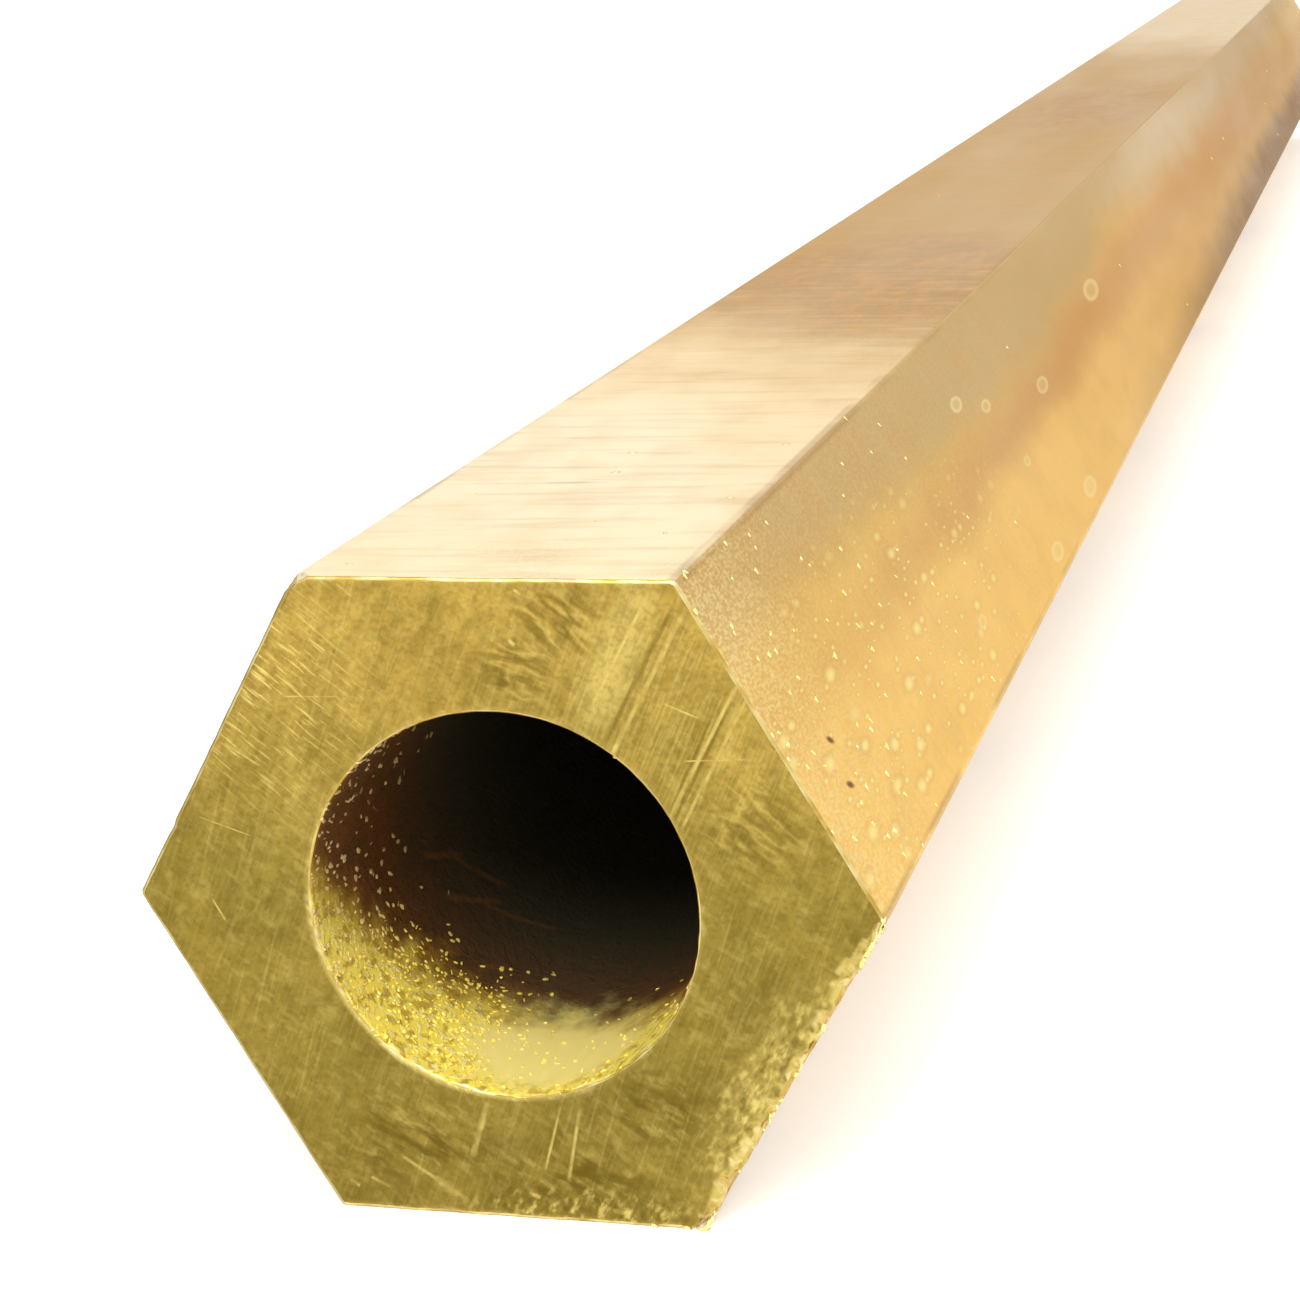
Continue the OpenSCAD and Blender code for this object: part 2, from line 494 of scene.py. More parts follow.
def spotted(tree, place, size, share, seed):
    """Soft round spots of random size in a share of the cells, and their halos, laid as painted glints and
    the painted shade round them.
    """
    moved = add(tree, "ShaderNodeMapping", {
        "Vector": place, "Location": (seed * MM, seed * MM, 0), "Scale": metres(size)}, vector_type="TEXTURE")
    cells = add(tree, "ShaderNodeTexVoronoi", {"Vector": moved, "Scale": 1.0}, voronoi_dimensions="2D")
    lot = add(tree, "ShaderNodeSeparateColor", {0: cells.outputs["Color"]})
    chosen = add(tree, "ShaderNodeMapRange", {
        "Value": lot.outputs["Red"], "From Min": 1 - share, "From Max": 1 - share / 2})
    varied, least = SPOT_RADIUS
    radius = add(tree, "ShaderNodeMath", {
        0: lot.outputs["Green"], 1: varied, 2: least}, operation="MULTIPLY_ADD")
    share_out = combined(tree, "DIVIDE", (cells.outputs["Distance"], radius))
    for inner, outer in SPOT_FADE:
        inside = add(tree, "ShaderNodeMapRange", {
            "Value": share_out, "From Min": outer, "From Max": inner}, interpolation_type="SMOOTHSTEP")
        yield combined(tree, "MULTIPLY", (chosen, inside))


# Films on the flats, each of one or more patches, and sharper marks laid in the same way: side, middle
# across it and from the near end, half sizes, turn and softness. Not all are films: top_sheen is a
# painted reflection of a bright ceiling, and shade and far_edge_shade are painted shade.
FILMS = {
    "top_sheen": ((TOP, -7, -30, 34, 118, 0, 0.5),),
    "far_pale": ((TOP, 2, 440, 60, 150, 0, 0.5),),
    "brown": ((TOP, 3, 90, 18, 34, 0, 0.6), (TOP, 1, 230, 13, 50, 0, 0.8)),
    "gilt": ((UPPER_RIGHT, 8, 20, 10, 130, 0, 0.8),),
    "rosy": ((UPPER_RIGHT, -6, -4, 9, 40, 0, 0.9),),
    "amber": ((UPPER_RIGHT, -0.4, 105, 3.4, 130, 0, 0.9),),
    "khaki": ((UPPER_RIGHT, -9, 85, 8.6, 110, 0, 0.4), (UPPER_RIGHT, -10, 290, 8.5, 330, 0, 0.5)),
    "pale_khaki": ((UPPER_RIGHT, -6, 225, 5, 90, 0, 0.8),),
    "orange": ((UPPER_RIGHT, -1, 270, 5.5, 210, 0, 0.8),),
    "far_orange": ((UPPER_RIGHT, 3, 300, 12, 280, 0, 0.7),),
    "shade": ((UPPER_RIGHT, 6, 400, 22, 290, 0, 0.7),),
    "far_edge_shade": ((UPPER_RIGHT, 10.5, 380, 8, 310, 0, 0.5),),
}
FLAT_MARKS = {
    "lines": ((TOP, 0, 19.9, 30, 0.6, 0, 1.0), (TOP, 2, 29.0, 12, 0.5, 0, 1.0)),
    "glint_patch": ((UPPER_RIGHT, 3, 20, 10, 52, 0, 0.7),),
    "pits": ((UPPER_RIGHT, 1.55, 6.4, 0.26, 0.6, -24, 0.7), (UPPER_RIGHT, 3.6, 5.5, 0.26, 0.66, -20, 0.7)),
}
# How far stains stray on each side that has them, as a share of DRIFT in millimetres, and over what
# size they stray differently
STRAY = {TOP: 1.0, UPPER_RIGHT: 0.4}
DRIFT = (9, 36, 0)
DRIFT_SIZE = (7, 16, ANY)
# Flats, in the same columns as the sawn end. Rubbing marks are about 0.1 mm apart, drawn coarser where
# the top is seen at a low angle.
FLAT_PATTERNS = {
    "handled": ((16, 50, ANY), UNTURNED, 0.44, 0.64, 5, 18),
    "browned": ((9, 26, ANY), UNTURNED, 0.50, 0.68, 5, 19),
    "film": ((10, 60, ANY), UNTURNED, 0.36, 0.68, 5, 2),
    "blotch": ((3, 6, ANY), UNTURNED, 0.46, 0.70, 5, 4),
    "mottle": ((1.2, 3, ANY), UNTURNED, 0.44, 0.66, 5, 5),
    "grained": ((0.14, 0.34, ANY), UNTURNED, 0.42, 0.64, 3, 9),
    "streaks": ((14, 0.3, ANY), UNTURNED, 0.48, 0.68, 5, 6),
    "pale_streaks": ((7, 1.3, ANY), (0, 0, -3), 0.50, 0.66, 5, 15),
    "dull_streaks": ((8, 1.1, ANY), (0, 0, 3), 0.50, 0.68, 5, 7),
    "dashes": ((2, 9, ANY), UNTURNED, 0.42, 0.60, 3, 12),
}
FLAT_COATS = (
    ("film", 0.45, "haze"),
    ("handled hidden", 0.5, "tan"),
    ("browned hidden", 0.4, "stain"),
    ("gilt", 0.8, "drawn"),
    ("rosy", 0.45, "tan"),
    ("tan_top", 0.95, "tan"),
    ("far_pale", 0.8, "haze"),
    ("far_pale", 0.45, "drawn_pale"),
    # Painted reflection of a bright ceiling on the near part of the top flat
    ("top_sheen", 0.97, "drawn_pale"),
    ("far_orange", 0.6, "orange"),
    ("orange", 0.9, "orange"),
    ("amber", 0.9, "orange"),
    ("khaki", 0.9, "haze"),
    ("pale_khaki", 0.3, "drawn_pale"),
    # Painted shade on the far part of the upper right flat
    ("shade", 0.3, "haze"),
    ("shade", 0.2, "stain"),
    ("brown", 0.5, "stain"),
    ("brown mottle", 0.4, "orange"),
    # Painted shade, a dark reflection, along the far part of the upper right flat's lower edge
    ("far_edge_shade", 0.9, "stain"),
    ("far_edge_shade", 0.3, "umber"),
    ("blotch", 0.2, "orange"),
    ("dull_streaks rubbed", "dull_share", "tan"),
    ("pale_streaks top rubbed", 0.22, "drawn_pale"),
    ("streaks rubbed", "streak_share", "drawn_pale"),
    ("lines top dull_streaks", 0.5, "stain"),
    ("grained rubbed", 0.14, "fresh"),
    ("frosted", 0.4, "fresh"),
    # Painted glints on the upper right flat, with painted shade round them
    ("glint_shade", 0.3, "orange"),
    ("painted_glints", 0.95, "fresh"),
    ("painted_glints", 0.4, "bore_gold"),
    # Larger painted highlights, drawn out along the stock
    ("ring_glints", 0.45, "fresh"),
    ("pits", 1.0, "tarnish"),
    ("dashes dark_line rubbed", 0.5, "stain"),
    ("light_line rubbed", 0.12, "fresh"),
)
# Where the film is thick it is an oxide and not bare metal, so it shines less, and the painted edge shade is
# dulled with it
AGED = ("tan_top", "khaki", "orange", "far_orange", "far_edge_shade", "rosy", "pits")


def adrift(tree, place, share):
    """The place moved about by a slow noise, so that stains laid there have loose outlines."""
    slow = add(tree, "ShaderNodeMapping", {
        "Vector": place, "Scale": metres(DRIFT_SIZE)}, vector_type="TEXTURE")
    drift = add(tree, "ShaderNodeTexNoise", {"Vector": slow, "Scale": 1.0, "Detail": 5.0})
    centred = add(tree, "ShaderNodeVectorMath", {
        0: drift.outputs["Color"], 1: (0.5, 0.5, 0.5)}, operation="SUBTRACT")
    most = [part * share for part in metres(DRIFT)]
    return add(tree, "ShaderNodeVectorMath", {0: centred, 1: most, 2: place}, operation="MULTIPLY_ADD")


def on_flats(tree, places, rows):
    """Marks on the flats one after another, each laid on the place that its side has in places."""
    for side, across, from_end, half_width, half_length, turn, soft in rows:
        yield mark(tree, places[side], unroll(side, across, from_end), (half_width, half_length, ANY),
                   (0, 0, turn), soft)


def drawn_flat(tree, place, shader):
    """Drawn brass rubbed across with an abrasive at its ends: warm gold under a patchy film."""
    unrolled = add(tree, "ShaderNodeAttribute", attribute_name="unrolled").outputs["Vector"]
    parts = add(tree, "ShaderNodeSeparateXYZ", {0: unrolled}).outputs
    sides_past = combined(tree, "DIVIDE", (parts["X"], SIDE_LENGTH))
    side = add(tree, "ShaderNodeMath", {0: sides_past}, operation="FLOOR")
    on_side = {
        number: add(tree, "ShaderNodeMath", {0: side, 1: number, 2: 0.1}, operation="COMPARE")
        for number in STRAY}
    seen = combined(tree, "MAXIMUM", on_side.values())
    masks = patterns(tree, unrolled, FLAT_PATTERNS)
    masks["top"] = on_side[TOP]
    masks["hidden"] = combined(tree, "SUBTRACT", (1.0, seen))
    loose = {number: adrift(tree, unrolled, share) for number, share in STRAY.items()}
    for name, rows in FILMS.items():
        masks[name] = combined(tree, "MAXIMUM", (
            combined(tree, "MULTIPLY", (patch, on_side[row[0]]))
            for row, patch in zip(rows, on_flats(tree, loose, rows))))
    masks["tan_top"] = combined(tree, "SUBTRACT", (masks["top"], masks["top_sheen"]))
    for name, rows in FLAT_MARKS.items():
        masks[name] = combined(tree, "MAXIMUM", on_flats(tree, dict.fromkeys(STRAY, unrolled), rows))

    from_middle = add(tree, "ShaderNodeMath", {0: parts["Y"]}, operation="ABSOLUTE")
    for name, outer, inner, least in (("by_end", 16, 1, 0.0), ("rubbed", 110, 20, 0.12)):
        masks[name] = add(tree, "ShaderNodeMapRange", {
            "Value": from_middle, "From Min": HALF_LENGTH - outer * MM, "From Max": HALF_LENGTH - inner * MM,
            "To Min": least})
    masks["frosted"] = combined(tree, "MULTIPLY", (masks["grained"], masks["by_end"]))
    glint_zone = combined(tree, "MULTIPLY", (on_side[UPPER_RIGHT], masks["glint_patch"]))
    dews = zip(*(spotted(tree, unrolled, *row) for row in GLINT_CELLS))
    masks["painted_glints"], masks["glint_shade"] = (
        combined(tree, "MULTIPLY", (combined(tree, "MAXIMUM", spots), glint_zone)) for spots in dews)
    masks["ring_glints"] = combined(tree, "MAXIMUM", glint_rings(tree, unrolled, GLINT_RINGS))
    gap = add(tree, "ShaderNodeAttribute", attribute_name="corner_gap").outputs["Fac"]
    for name, outer, inner in (("dark_line", 0.5, 0.25), ("light_line", 0.28, 0.16)):
        masks[name] = add(tree, "ShaderNodeMapRange", {
            "Value": gap, "From Min": outer * MM, "From Max": inner * MM})
    for name, change, on_top in (("streak_share", -0.16, 0.22), ("dull_share", -0.22, 0.28)):
        masks[name] = add(tree, "ShaderNodeMath", {
            0: on_side[UPPER_RIGHT], 1: change, 2: on_top}, operation="MULTIPLY_ADD")
    tone = coats(tree, masks, "drawn", FLAT_COATS)
    masks["aged"] = combined(tree, "MAXIMUM", (masks[name] for name in AGED))
    bare = add(tree, "ShaderNodeMapRange", {"Value": masks["aged"], "To Min": 0.95, "To Max": 0.32})
    rough = add(tree, "ShaderNodeMapRange", {"Value": masks["film"], "To Min": 0.30, "To Max": 0.42})
    relief = combined(tree, "ADD", (masks["streaks"], masks["painted_glints"], masks["frosted"]))
    dented = combined(tree, "SUBTRACT", (relief, masks["pits"]))
    bump = add(tree, "ShaderNodeBump", {"Height": dented, "Distance": 0.012 * MM, "Strength": 0.5})
    # Brass stays golden at a low angle, where a plain metal would turn white, most of all under the film
    glance = coats(tree, masks, "glance", (("aged", 1.0, "filmed_glance"),))
    fill(tree, shader, {
        "Base Color": tone, "Metallic": bare, "Roughness": rough, "Normal": bump,
        "Specular Tint": glance, "Specular IOR Level": 0.1})


def broken_edge(tree, place, shader):
    """Brass edge where a file or a knock has left fresh metal: pale and bright, partly a painted highlight,
    and darkened as painted shade on the rims that face away from the light.
    """
    rim = add(tree, "ShaderNodeAttribute", attribute_name="rim").outputs["Fac"]
    masks = {
        "worn": pattern(tree, place, (1.3, 0.8, 1.3), UNTURNED, 0.38, 0.64, 3, 0),
        "shaded_rim": add(tree, "ShaderNodeMapRange", {"Value": rim, "From Min": 0.0, "From Max": -1.0})}
    tone = coats(tree, masks, "sawn_high", (("worn", 0.7, "fresh"), ("shaded_rim", 0.95, "umber")))
    bare = add(tree, "ShaderNodeMapRange", {"Value": masks["shaded_rim"], "To Min": 1.0, "To Max": 0.2})
    fill(tree, shader, {
        "Base Color": tone, "Metallic": bare, "Specular IOR Level": 0.2, "Roughness": 0.3})


# Bright metal in a mouth, partly torn metal and partly a painted pool of the light that falls in from
# above: how far it climbs for each step to the left, how far under the bore's axis it ends, and how deep
# it goes at the bottom and at that end, in millimetres
LIT_TORN_CLIMB = 0.33
LIT_TORN_TOP = 0.5
LIT_TORN_DEPTH = (11, 0.2)
# Its ragged edge, as shares of that depth: by how much it varies and its least
LIT_TORN_RAGGED, LIT_TORN_LEAST = 0.35, 0.82


def lit_torn_depth(tree, parts):
    """How far in a mouth's bright part goes, torn metal and painted pool of light together: deepest at the
    bottom of the bore, high on its left.
    """
    leftward = combined(tree, "MINIMUM", (parts["X"], 0.0))
    height = add(tree, "ShaderNodeMath", {
        0: leftward, 1: LIT_TORN_CLIMB, 2: parts["Z"]}, operation="MULTIPLY_ADD")
    most, least = metres(LIT_TORN_DEPTH)
    return add(tree, "ShaderNodeMapRange", {
        "Value": height, "From Min": REACH - BORE_RADIUS, "From Max": REACH - LIT_TORN_TOP * MM,
        "To Min": most, "To Max": least})


# Bore, in the same columns as the sawn end
BORE_PATTERNS = {
    "ragged": ((1.6, 2.4, 1.6), UNTURNED, 0.3, 0.7, 5, 21),
    "grit": ((0.5, 0.8, 0.5), UNTURNED, 0.50, 0.62, 4, 23),
    "glitter": ((0.34, 0.5, 0.34), UNTURNED, 0.52, 0.62, 3, 29),
    "ruddy": ((1.2, 3, 1.2), UNTURNED, 0.42, 0.66, 5, 25),
    "scale": ((0.5, 0.8, 0.5), UNTURNED, 0.56, 0.68, 4, 27),
}
# Rubbed smooth low on the right, with a darker greenish zone behind it: millimetres to the right of the
# bottom and in from the mouth, half sizes and softness
BORE_ZONES = {
    "smooth": (0.8, 5.5, (5.5, 5.5, 4), 0.4),
    "greened": (0.5, 11, (6, 5, 4), 0.8),
}
BORE_COATS = (
    ("ruddy", 0.6, "umber"),
    ("scale", 0.2, "stain"),
    ("black", 1.0, "bore_dark"),
    ("scratch", 0.6, "stain"),
    # The golden and bright coats are partly torn metal and partly a painted pool of light, with its soft edge
    ("golden", 0.9, "bore_brown"),
    ("golden greened", 0.9, "bore_green"),
    ("bright", 1.0, "bore_gold"),
    ("smooth bright", 0.5, "fresh"),
    # Painted glints in the bright part of a mouth
    ("bright glitter rough", 0.6, "fresh"),
    ("golden grit rough", 0.6, "bore_brown"),
)


def bore_wall(tree, place, shader):
    """Bore as drawn: bright metal low in a mouth, partly torn and partly a painted pool of light, reddish
    brown oxide around it, black further in.
    """
    parts = add(tree, "ShaderNodeSeparateXYZ", {0: place}).outputs
    middle = add(tree, "ShaderNodeMath", {0: parts["Y"]}, operation="ABSOLUTE")
    depth = combined(tree, "SUBTRACT", (HALF_LENGTH, middle))
    masks = patterns(tree, place, BORE_PATTERNS)
    edge = add(tree, "ShaderNodeMath", {
        0: masks["ragged"], 1: LIT_TORN_RAGGED, 2: LIT_TORN_LEAST}, operation="MULTIPLY_ADD")
    inner = combined(tree, "MULTIPLY", (lit_torn_depth(tree, parts), edge))
    beyond = combined(tree, "SUBTRACT", (depth, inner))
    for name, value, first, last, fade in (
            ("golden", beyond, 1.6, -2.4, "SMOOTHSTEP"), ("bright", beyond, 0.0, -4.8, "SMOOTHSTEP"),
            ("black", depth, 9, 21, "LINEAR")):
        masks[name] = add(tree, "ShaderNodeMapRange", {
            "Value": value, "From Min": first * MM, "From Max": last * MM}, interpolation_type=fade)
    for name, (rightward, inward, size, soft) in BORE_ZONES.items():
        centre = (rightward * MM, NEAR_Y + inward * MM, REACH - BORE_RADIUS)
        masks[name] = mark(tree, place, centre, size, soft=soft)
    masks["rough"] = combined(tree, "SUBTRACT", (1.0, masks["smooth"]))
    off_axis = combined(tree, "SUBTRACT", (parts["Z"], REACH))
    bearing = combined(tree, "ARCTAN2", (off_axis, parts["X"]))
    around = combined(tree, "MULTIPLY", (bearing, BORE_RADIUS))
    inward = combined(tree, "ADD", (depth, REACH))
    # The wall laid out flat where the near end's own strokes are laid
    laid_out = add(tree, "ShaderNodeCombineXYZ", {"X": around, "Y": NEAR_Y, "Z": inward})
    masks["scratch"] = combined(tree, "MAXIMUM", end_strokes(tree, laid_out, BORE_SCRATCHES))
    tone = coats(tree, masks, "tarnish", BORE_COATS)
    gloss, rough = (
        add(tree, "ShaderNodeMapRange", {"Value": masks["bright"], "To Min": dull, "To Max": clean})
        for dull, clean in ((0.05, 0.1), (0.8, 0.45)))
    torn = combined(tree, "SUBTRACT", (masks["glitter"], masks["grit"]))
    uneven = combined(tree, "MULTIPLY", (torn, masks["rough"]))
    bump = add(tree, "ShaderNodeBump", {"Height": uneven, "Distance": 0.05 * MM, "Strength": 0.7})
    fill(tree, shader, {
        "Base Color": tone, "Metallic": gloss, "Roughness": rough, "Specular IOR Level": 0.3, "Normal": bump})


def torn_grain(tree, place, shader):
    """Grains torn up in the bore: clean metal with broken faces, duller and browner further up the wall."""
    height = add(tree, "ShaderNodeSeparateXYZ", {0: place}).outputs["Z"]
    masks = {
        "pale": pattern(tree, place, (0.4, 0.4, 0.4), UNTURNED, 0.50, 0.66, 2, 35),
        "high": add(tree, "ShaderNodeMapRange", {
            "Value": height, "From Min": REACH - 6 * MM, "From Max": REACH - 2 * MM})}
    tone = coats(tree, masks, "bore_gold", (("pale", 0.6, "fresh"), ("high", 0.8, "dull_grain")))
    fill(tree, shader, {"Base Color": tone, "Metallic": 0.1, "Roughness": 0.35})


def fresh_burr(tree, place, shader):
    """Flecks and slivers of brass pushed up by a tool: clean bright metal that glitters."""
    masks = {"yellow": pattern(tree, place, (0.3, 0.3, 0.3), UNTURNED, 0.45, 0.60, 2, 31)}
    tone = coats(tree, masks, "fresh", (("yellow", 0.6, "bore_gold"),))
    fill(tree, shader, {"Base Color": tone, "Metallic": 0.7, "Roughness": 0.18})


FINISHES = {
    "drawn_brass_flat": drawn_flat,
    "sawn_brass_end": sawn_end,
    "broken_brass_edge": broken_edge,
    "oxidised_brass_bore": bore_wall,
    "torn_brass_grain": torn_grain,
    "fresh_brass_burr": fresh_burr,
}
# The stock's finishes, by the names that its tree's inputs and bands of faces have
BANDS = {
    "Flat": "drawn_brass_flat",
    "End": "sawn_brass_end",
    "Edge": "broken_brass_edge",
    "Bore": "oxidised_brass_bore",
}


def finish_named(name):
    """The material of that name, made when it is first asked for."""
    return bpy.data.materials.get(name) or metal(name, FINISHES[name])


def hexagon_ring(tree, turn, size):
    """From the bore's axis to the drawn outline, a share `turn` of the way round from the top's left.

    size holds the outline's reach and corner radius. Also returns how far round the outline that place
    is when its sides are unrolled flat, and the angle that its side is turned by.
    """
    reach, radius = size
    sixths = combined(tree, "MULTIPLY", (turn, SIDES))
    side, within = (add(tree, "ShaderNodeMath", {0: sixths}, operation=part) for part in ("FLOOR", "FRACT"))
    swing = add(tree, "ShaderNodeMath", {0: within, 1: 2.0, 2: -1.0}, operation="MULTIPLY_ADD")
    hand, out = (add(tree, "ShaderNodeMath", {0: swing}, operation=part) for part in ("SIGN", "ABSOLUTE"))
    inset = combined(tree, "SUBTRACT", (reach, radius))
    half_flat = combined(tree, "MULTIPLY", (inset, math.tan(HALF_STEP)))
    along = add(tree, "ShaderNodeMapRange", {
        "Value": out, "From Max": FLAT_SHARE, "To Max": half_flat})
    bend = add(tree, "ShaderNodeMapRange", {
        "Value": out, "From Min": FLAT_SHARE, "To Max": HALF_STEP})
    sine, cosine = (add(tree, "ShaderNodeMath", {0: bend}, operation=part) for part in ("SINE", "COSINE"))
    sideways, upwards = (
        add(tree, "ShaderNodeMath", {0: part, 1: radius, 2: rest}, operation="MULTIPLY_ADD")
        for part, rest in ((sine, along), (cosine, inset)))
    signed = combined(tree, "MULTIPLY", (sideways, hand))
    point = add(tree, "ShaderNodeCombineXYZ", {"X": signed, "Z": upwards})
    angle = combined(tree, "MULTIPLY", (side, SIDE_STEP))
    ring = add(tree, "ShaderNodeVectorRotate", {
        "Vector": point, "Angle": angle}, rotation_type="Y_AXIS")
    middle = add(tree, "ShaderNodeMath", {
        0: side, 1: SIDE_LENGTH, 2: SIDE_LENGTH / 2}, operation="MULTIPLY_ADD")
    return ring, combined(tree, "ADD", (middle, signed)), angle


def round_ring(tree, turn, radius):
    """From the bore's axis to a circle, a share `turn` of the way round from the top's left."""
    angle = add(tree, "ShaderNodeMath", {0: turn, 1: math.tau, 2: -HALF_STEP}, operation="MULTIPLY_ADD")
    upright = add(tree, "ShaderNodeCombineXYZ", {"Z": radius})
    return add(tree, "ShaderNodeVectorRotate", {
        "Vector": upright, "Angle": angle}, rotation_type="Y_AXIS")


def moved_along(tree, size, ring, along):
    """A point of a ring round the bore's axis, moved to its place along the stock."""
    shift = add(tree, "ShaderNodeCombineXYZ", {"Y": along, "Z": size["Reach"]})
    return add(tree, "ShaderNodeVectorMath", {0: ring, 1: shift}, operation="ADD")


def grid_shares(tree):
    """The shares round and along of each point of a unit grid, before it is bent to shape."""
    place = add(tree, "ShaderNodeSeparateXYZ", {0: add(tree, "GeometryNodeInputPosition")}).outputs
    return [combined(tree, "ADD", (place[axis], 0.5)) for axis in "XY"]


def joined(tree, parts):
    """The geometry of several nodes in one."""
    join = add(tree, "GeometryNodeJoinGeometry")
    for part in parts:
        tree.links.new(part.outputs[0], join.inputs[0])
    return join


# Kinds of a Geometry Nodes tree's inputs
SOCKETS = {int: "NodeSocketInt", float: "NodeSocketFloat", bpy.types.Material: "NodeSocketMaterial"}


def grow(name, build, values):
    """Makes an object of the plain mesh that a Geometry Nodes tree gives for these inputs.

    build(tree, size) makes the tree's nodes between its inputs, which size holds by name, and its output.
    """
    tree = bpy.data.node_groups.new(name.replace("_", " ").capitalize(), "GeometryNodeTree")
    for key, value in values.items():
        tree.interface.new_socket(name=key, in_out="INPUT", socket_type=SOCKETS[type(value)])
    tree.interface.new_socket(name="Geometry", in_out="OUTPUT", socket_type="NodeSocketGeometry")
    result = build(tree, add(tree, "NodeGroupInput").outputs)
    add(tree, "NodeGroupOutput", {"Geometry": result})
    piece = bpy.data.objects.new(name, bpy.data.meshes.new(name))
    bpy.context.scene.collection.objects.link(piece)
    modifier = piece.modifiers.new(tree.name, "NODES")
    modifier.node_group = tree
    for item in tree.interface.items_tree:
        if item.in_out == "INPUT":
            modifier[item.identifier] = values[item.name]
    depsgraph = bpy.context.evaluated_depsgraph_get()
    grown = bpy.data.meshes.new_from_object(
        piece.evaluated_get(depsgraph), preserve_all_data_layers=True, depsgraph=depsgraph)
    piece.modifiers.remove(modifier)
    piece.data = grown
    piece.data.name = name
    if not grown.polygons:
        raise RuntimeError(f"{name} came out with no faces")
    return piece


# The closed profile, from each ring to the next: rows of faces, or the size that gives them, and finish
PROFILE = (
    (("near", "bore"), 2, "Edge"), (("near", "mouth"), "Face rings", "End"),
    (("near", "rim"), 2, "Edge"), (("near", "wall"), "Wall rows", "Flat"),
    (("far", "wall"), 2, "Edge"), (("far", "rim"), "Face rings", "End"),
    (("far", "mouth"), 2, "Edge"), (("far", "bore"), "Bore rows", "Bore"),
)
CROWDED_ROWS = ("Wall rows", "Bore rows")
# Closer than this, points of two bands are the same point
WELD = 0.001 * MM


def crowd(tree, along):
    """The share of the way along a wall, with the rows crowded towards both ends."""
    fold = combined(tree, "PINGPONG", (along, 0.5))
    power = combined(tree, "MULTIPLY", (fold, 2 * CROWDING))
    grown = add(tree, "ShaderNodeMath", {0: power}, operation="EXPONENT")
    gap = add(tree, "ShaderNodeMapRange", {
        "Value": grown, "From Min": 1.0, "From Max": math.exp(CROWDING), "To Min": 0.5, "To Max": 0.0})
    hand = add(tree, "ShaderNodeMath", {0: combined(tree, "SUBTRACT", (along, 0.5))}, operation="SIGN")
    return add(tree, "ShaderNodeMath", {0: hand, 1: gap, 2: 0.5}, operation="MULTIPLY_ADD")


def drawn_stock(tree, size):
    """The stock's closed profile, swept round the section: bevels, sawn faces, flats and bore."""
    turn, along = grid_shares(tree)
    crowded = crowd(tree, along)
    inner = [
        combined(tree, "SUBTRACT", (size[name], size["Rim break"])) for name in ("Reach", "Corner radius")]
    outline, round_it, _ = hexagon_ring(tree, turn, (size["Reach"], size["Corner radius"]))
    rim, _, _ = hexagon_ring(tree, turn, inner)
    mouth = round_ring(tree, turn, combined(tree, "ADD", (size["Bore radius"], size["Mouth break"])))
    bore = round_ring(tree, turn, size["Bore radius"])
    far = combined(tree, "MULTIPLY", (size["Cut length"], 0.5))
    near = combined(tree, "MULTIPLY", (far, -1.0))
    length_along = add(tree, "ShaderNodeMath", {
        0: crowded, 1: size["Cut length"], 2: near}, operation="MULTIPLY_ADD")
    unrolled = add(tree, "ShaderNodeCombineXYZ", {"X": round_it, "Y": length_along})
    rings = {}
    for end, face, inward in (("near", near, "ADD"), ("far", far, "SUBTRACT")):
        rings[end, "bore"] = bore, combined(tree, inward, (face, size["Mouth break"]))
        rings[end, "mouth"] = mouth, face
        rings[end, "rim"] = rim, face
        rings[end, "wall"] = outline, combined(tree, inward, (face, size["Rim break"]))
    rings = {key: moved_along(tree, size, *ring) for key, ring in rings.items()}
    columns = combined(tree, "ADD", (size["Columns"], 1.0))
    bands = []
    for (start, rows, finish), (stop, _, _) in zip(PROFILE, PROFILE[1:] + PROFILE[:1]):
        count = size[rows] if isinstance(rows, str) else rows
        grid = add(tree, "GeometryNodeMeshGrid", {
            "Vertices X": columns, "Vertices Y": combined(tree, "ADD", (count, 1.0))})
        laid = add(tree, "GeometryNodeStoreNamedAttribute", {
            "Geometry": grid, "Name": "unrolled", "Value": unrolled},
            data_type="FLOAT_VECTOR", domain="CORNER")
        point = add(tree, "ShaderNodeMix", {
            "Factor": crowded if rows in CROWDED_ROWS else along, 4: rings[start], 5: rings[stop]},
            data_type="VECTOR")
        swept = add(tree, "GeometryNodeSetPosition", {"Geometry": laid, "Position": point})
        bands.append(add(tree, "GeometryNodeStoreNamedAttribute", {
            "Geometry": swept, "Name": "band", "Value": list(BANDS).index(finish)},
            data_type="INT", domain="FACE"))
    closed = add(tree, "GeometryNodeMergeByDistance", {"Geometry": joined(tree, bands), "Distance": WELD})
    result = add(tree, "GeometryNodeRealizeInstances", {"Geometry": closed})
    band = add(tree, "GeometryNodeInputNamedAttribute", {"Name": "band"}, data_type="INT")
    for index, finish in enumerate(BANDS):
        here = add(tree, "FunctionNodeCompare", {2: band, 3: index}, data_type="INT", operation="EQUAL")
        result = add(tree, "GeometryNodeSetMaterial", {
            "Geometry": result, "Selection": here, "Material": size[finish]})
    return result


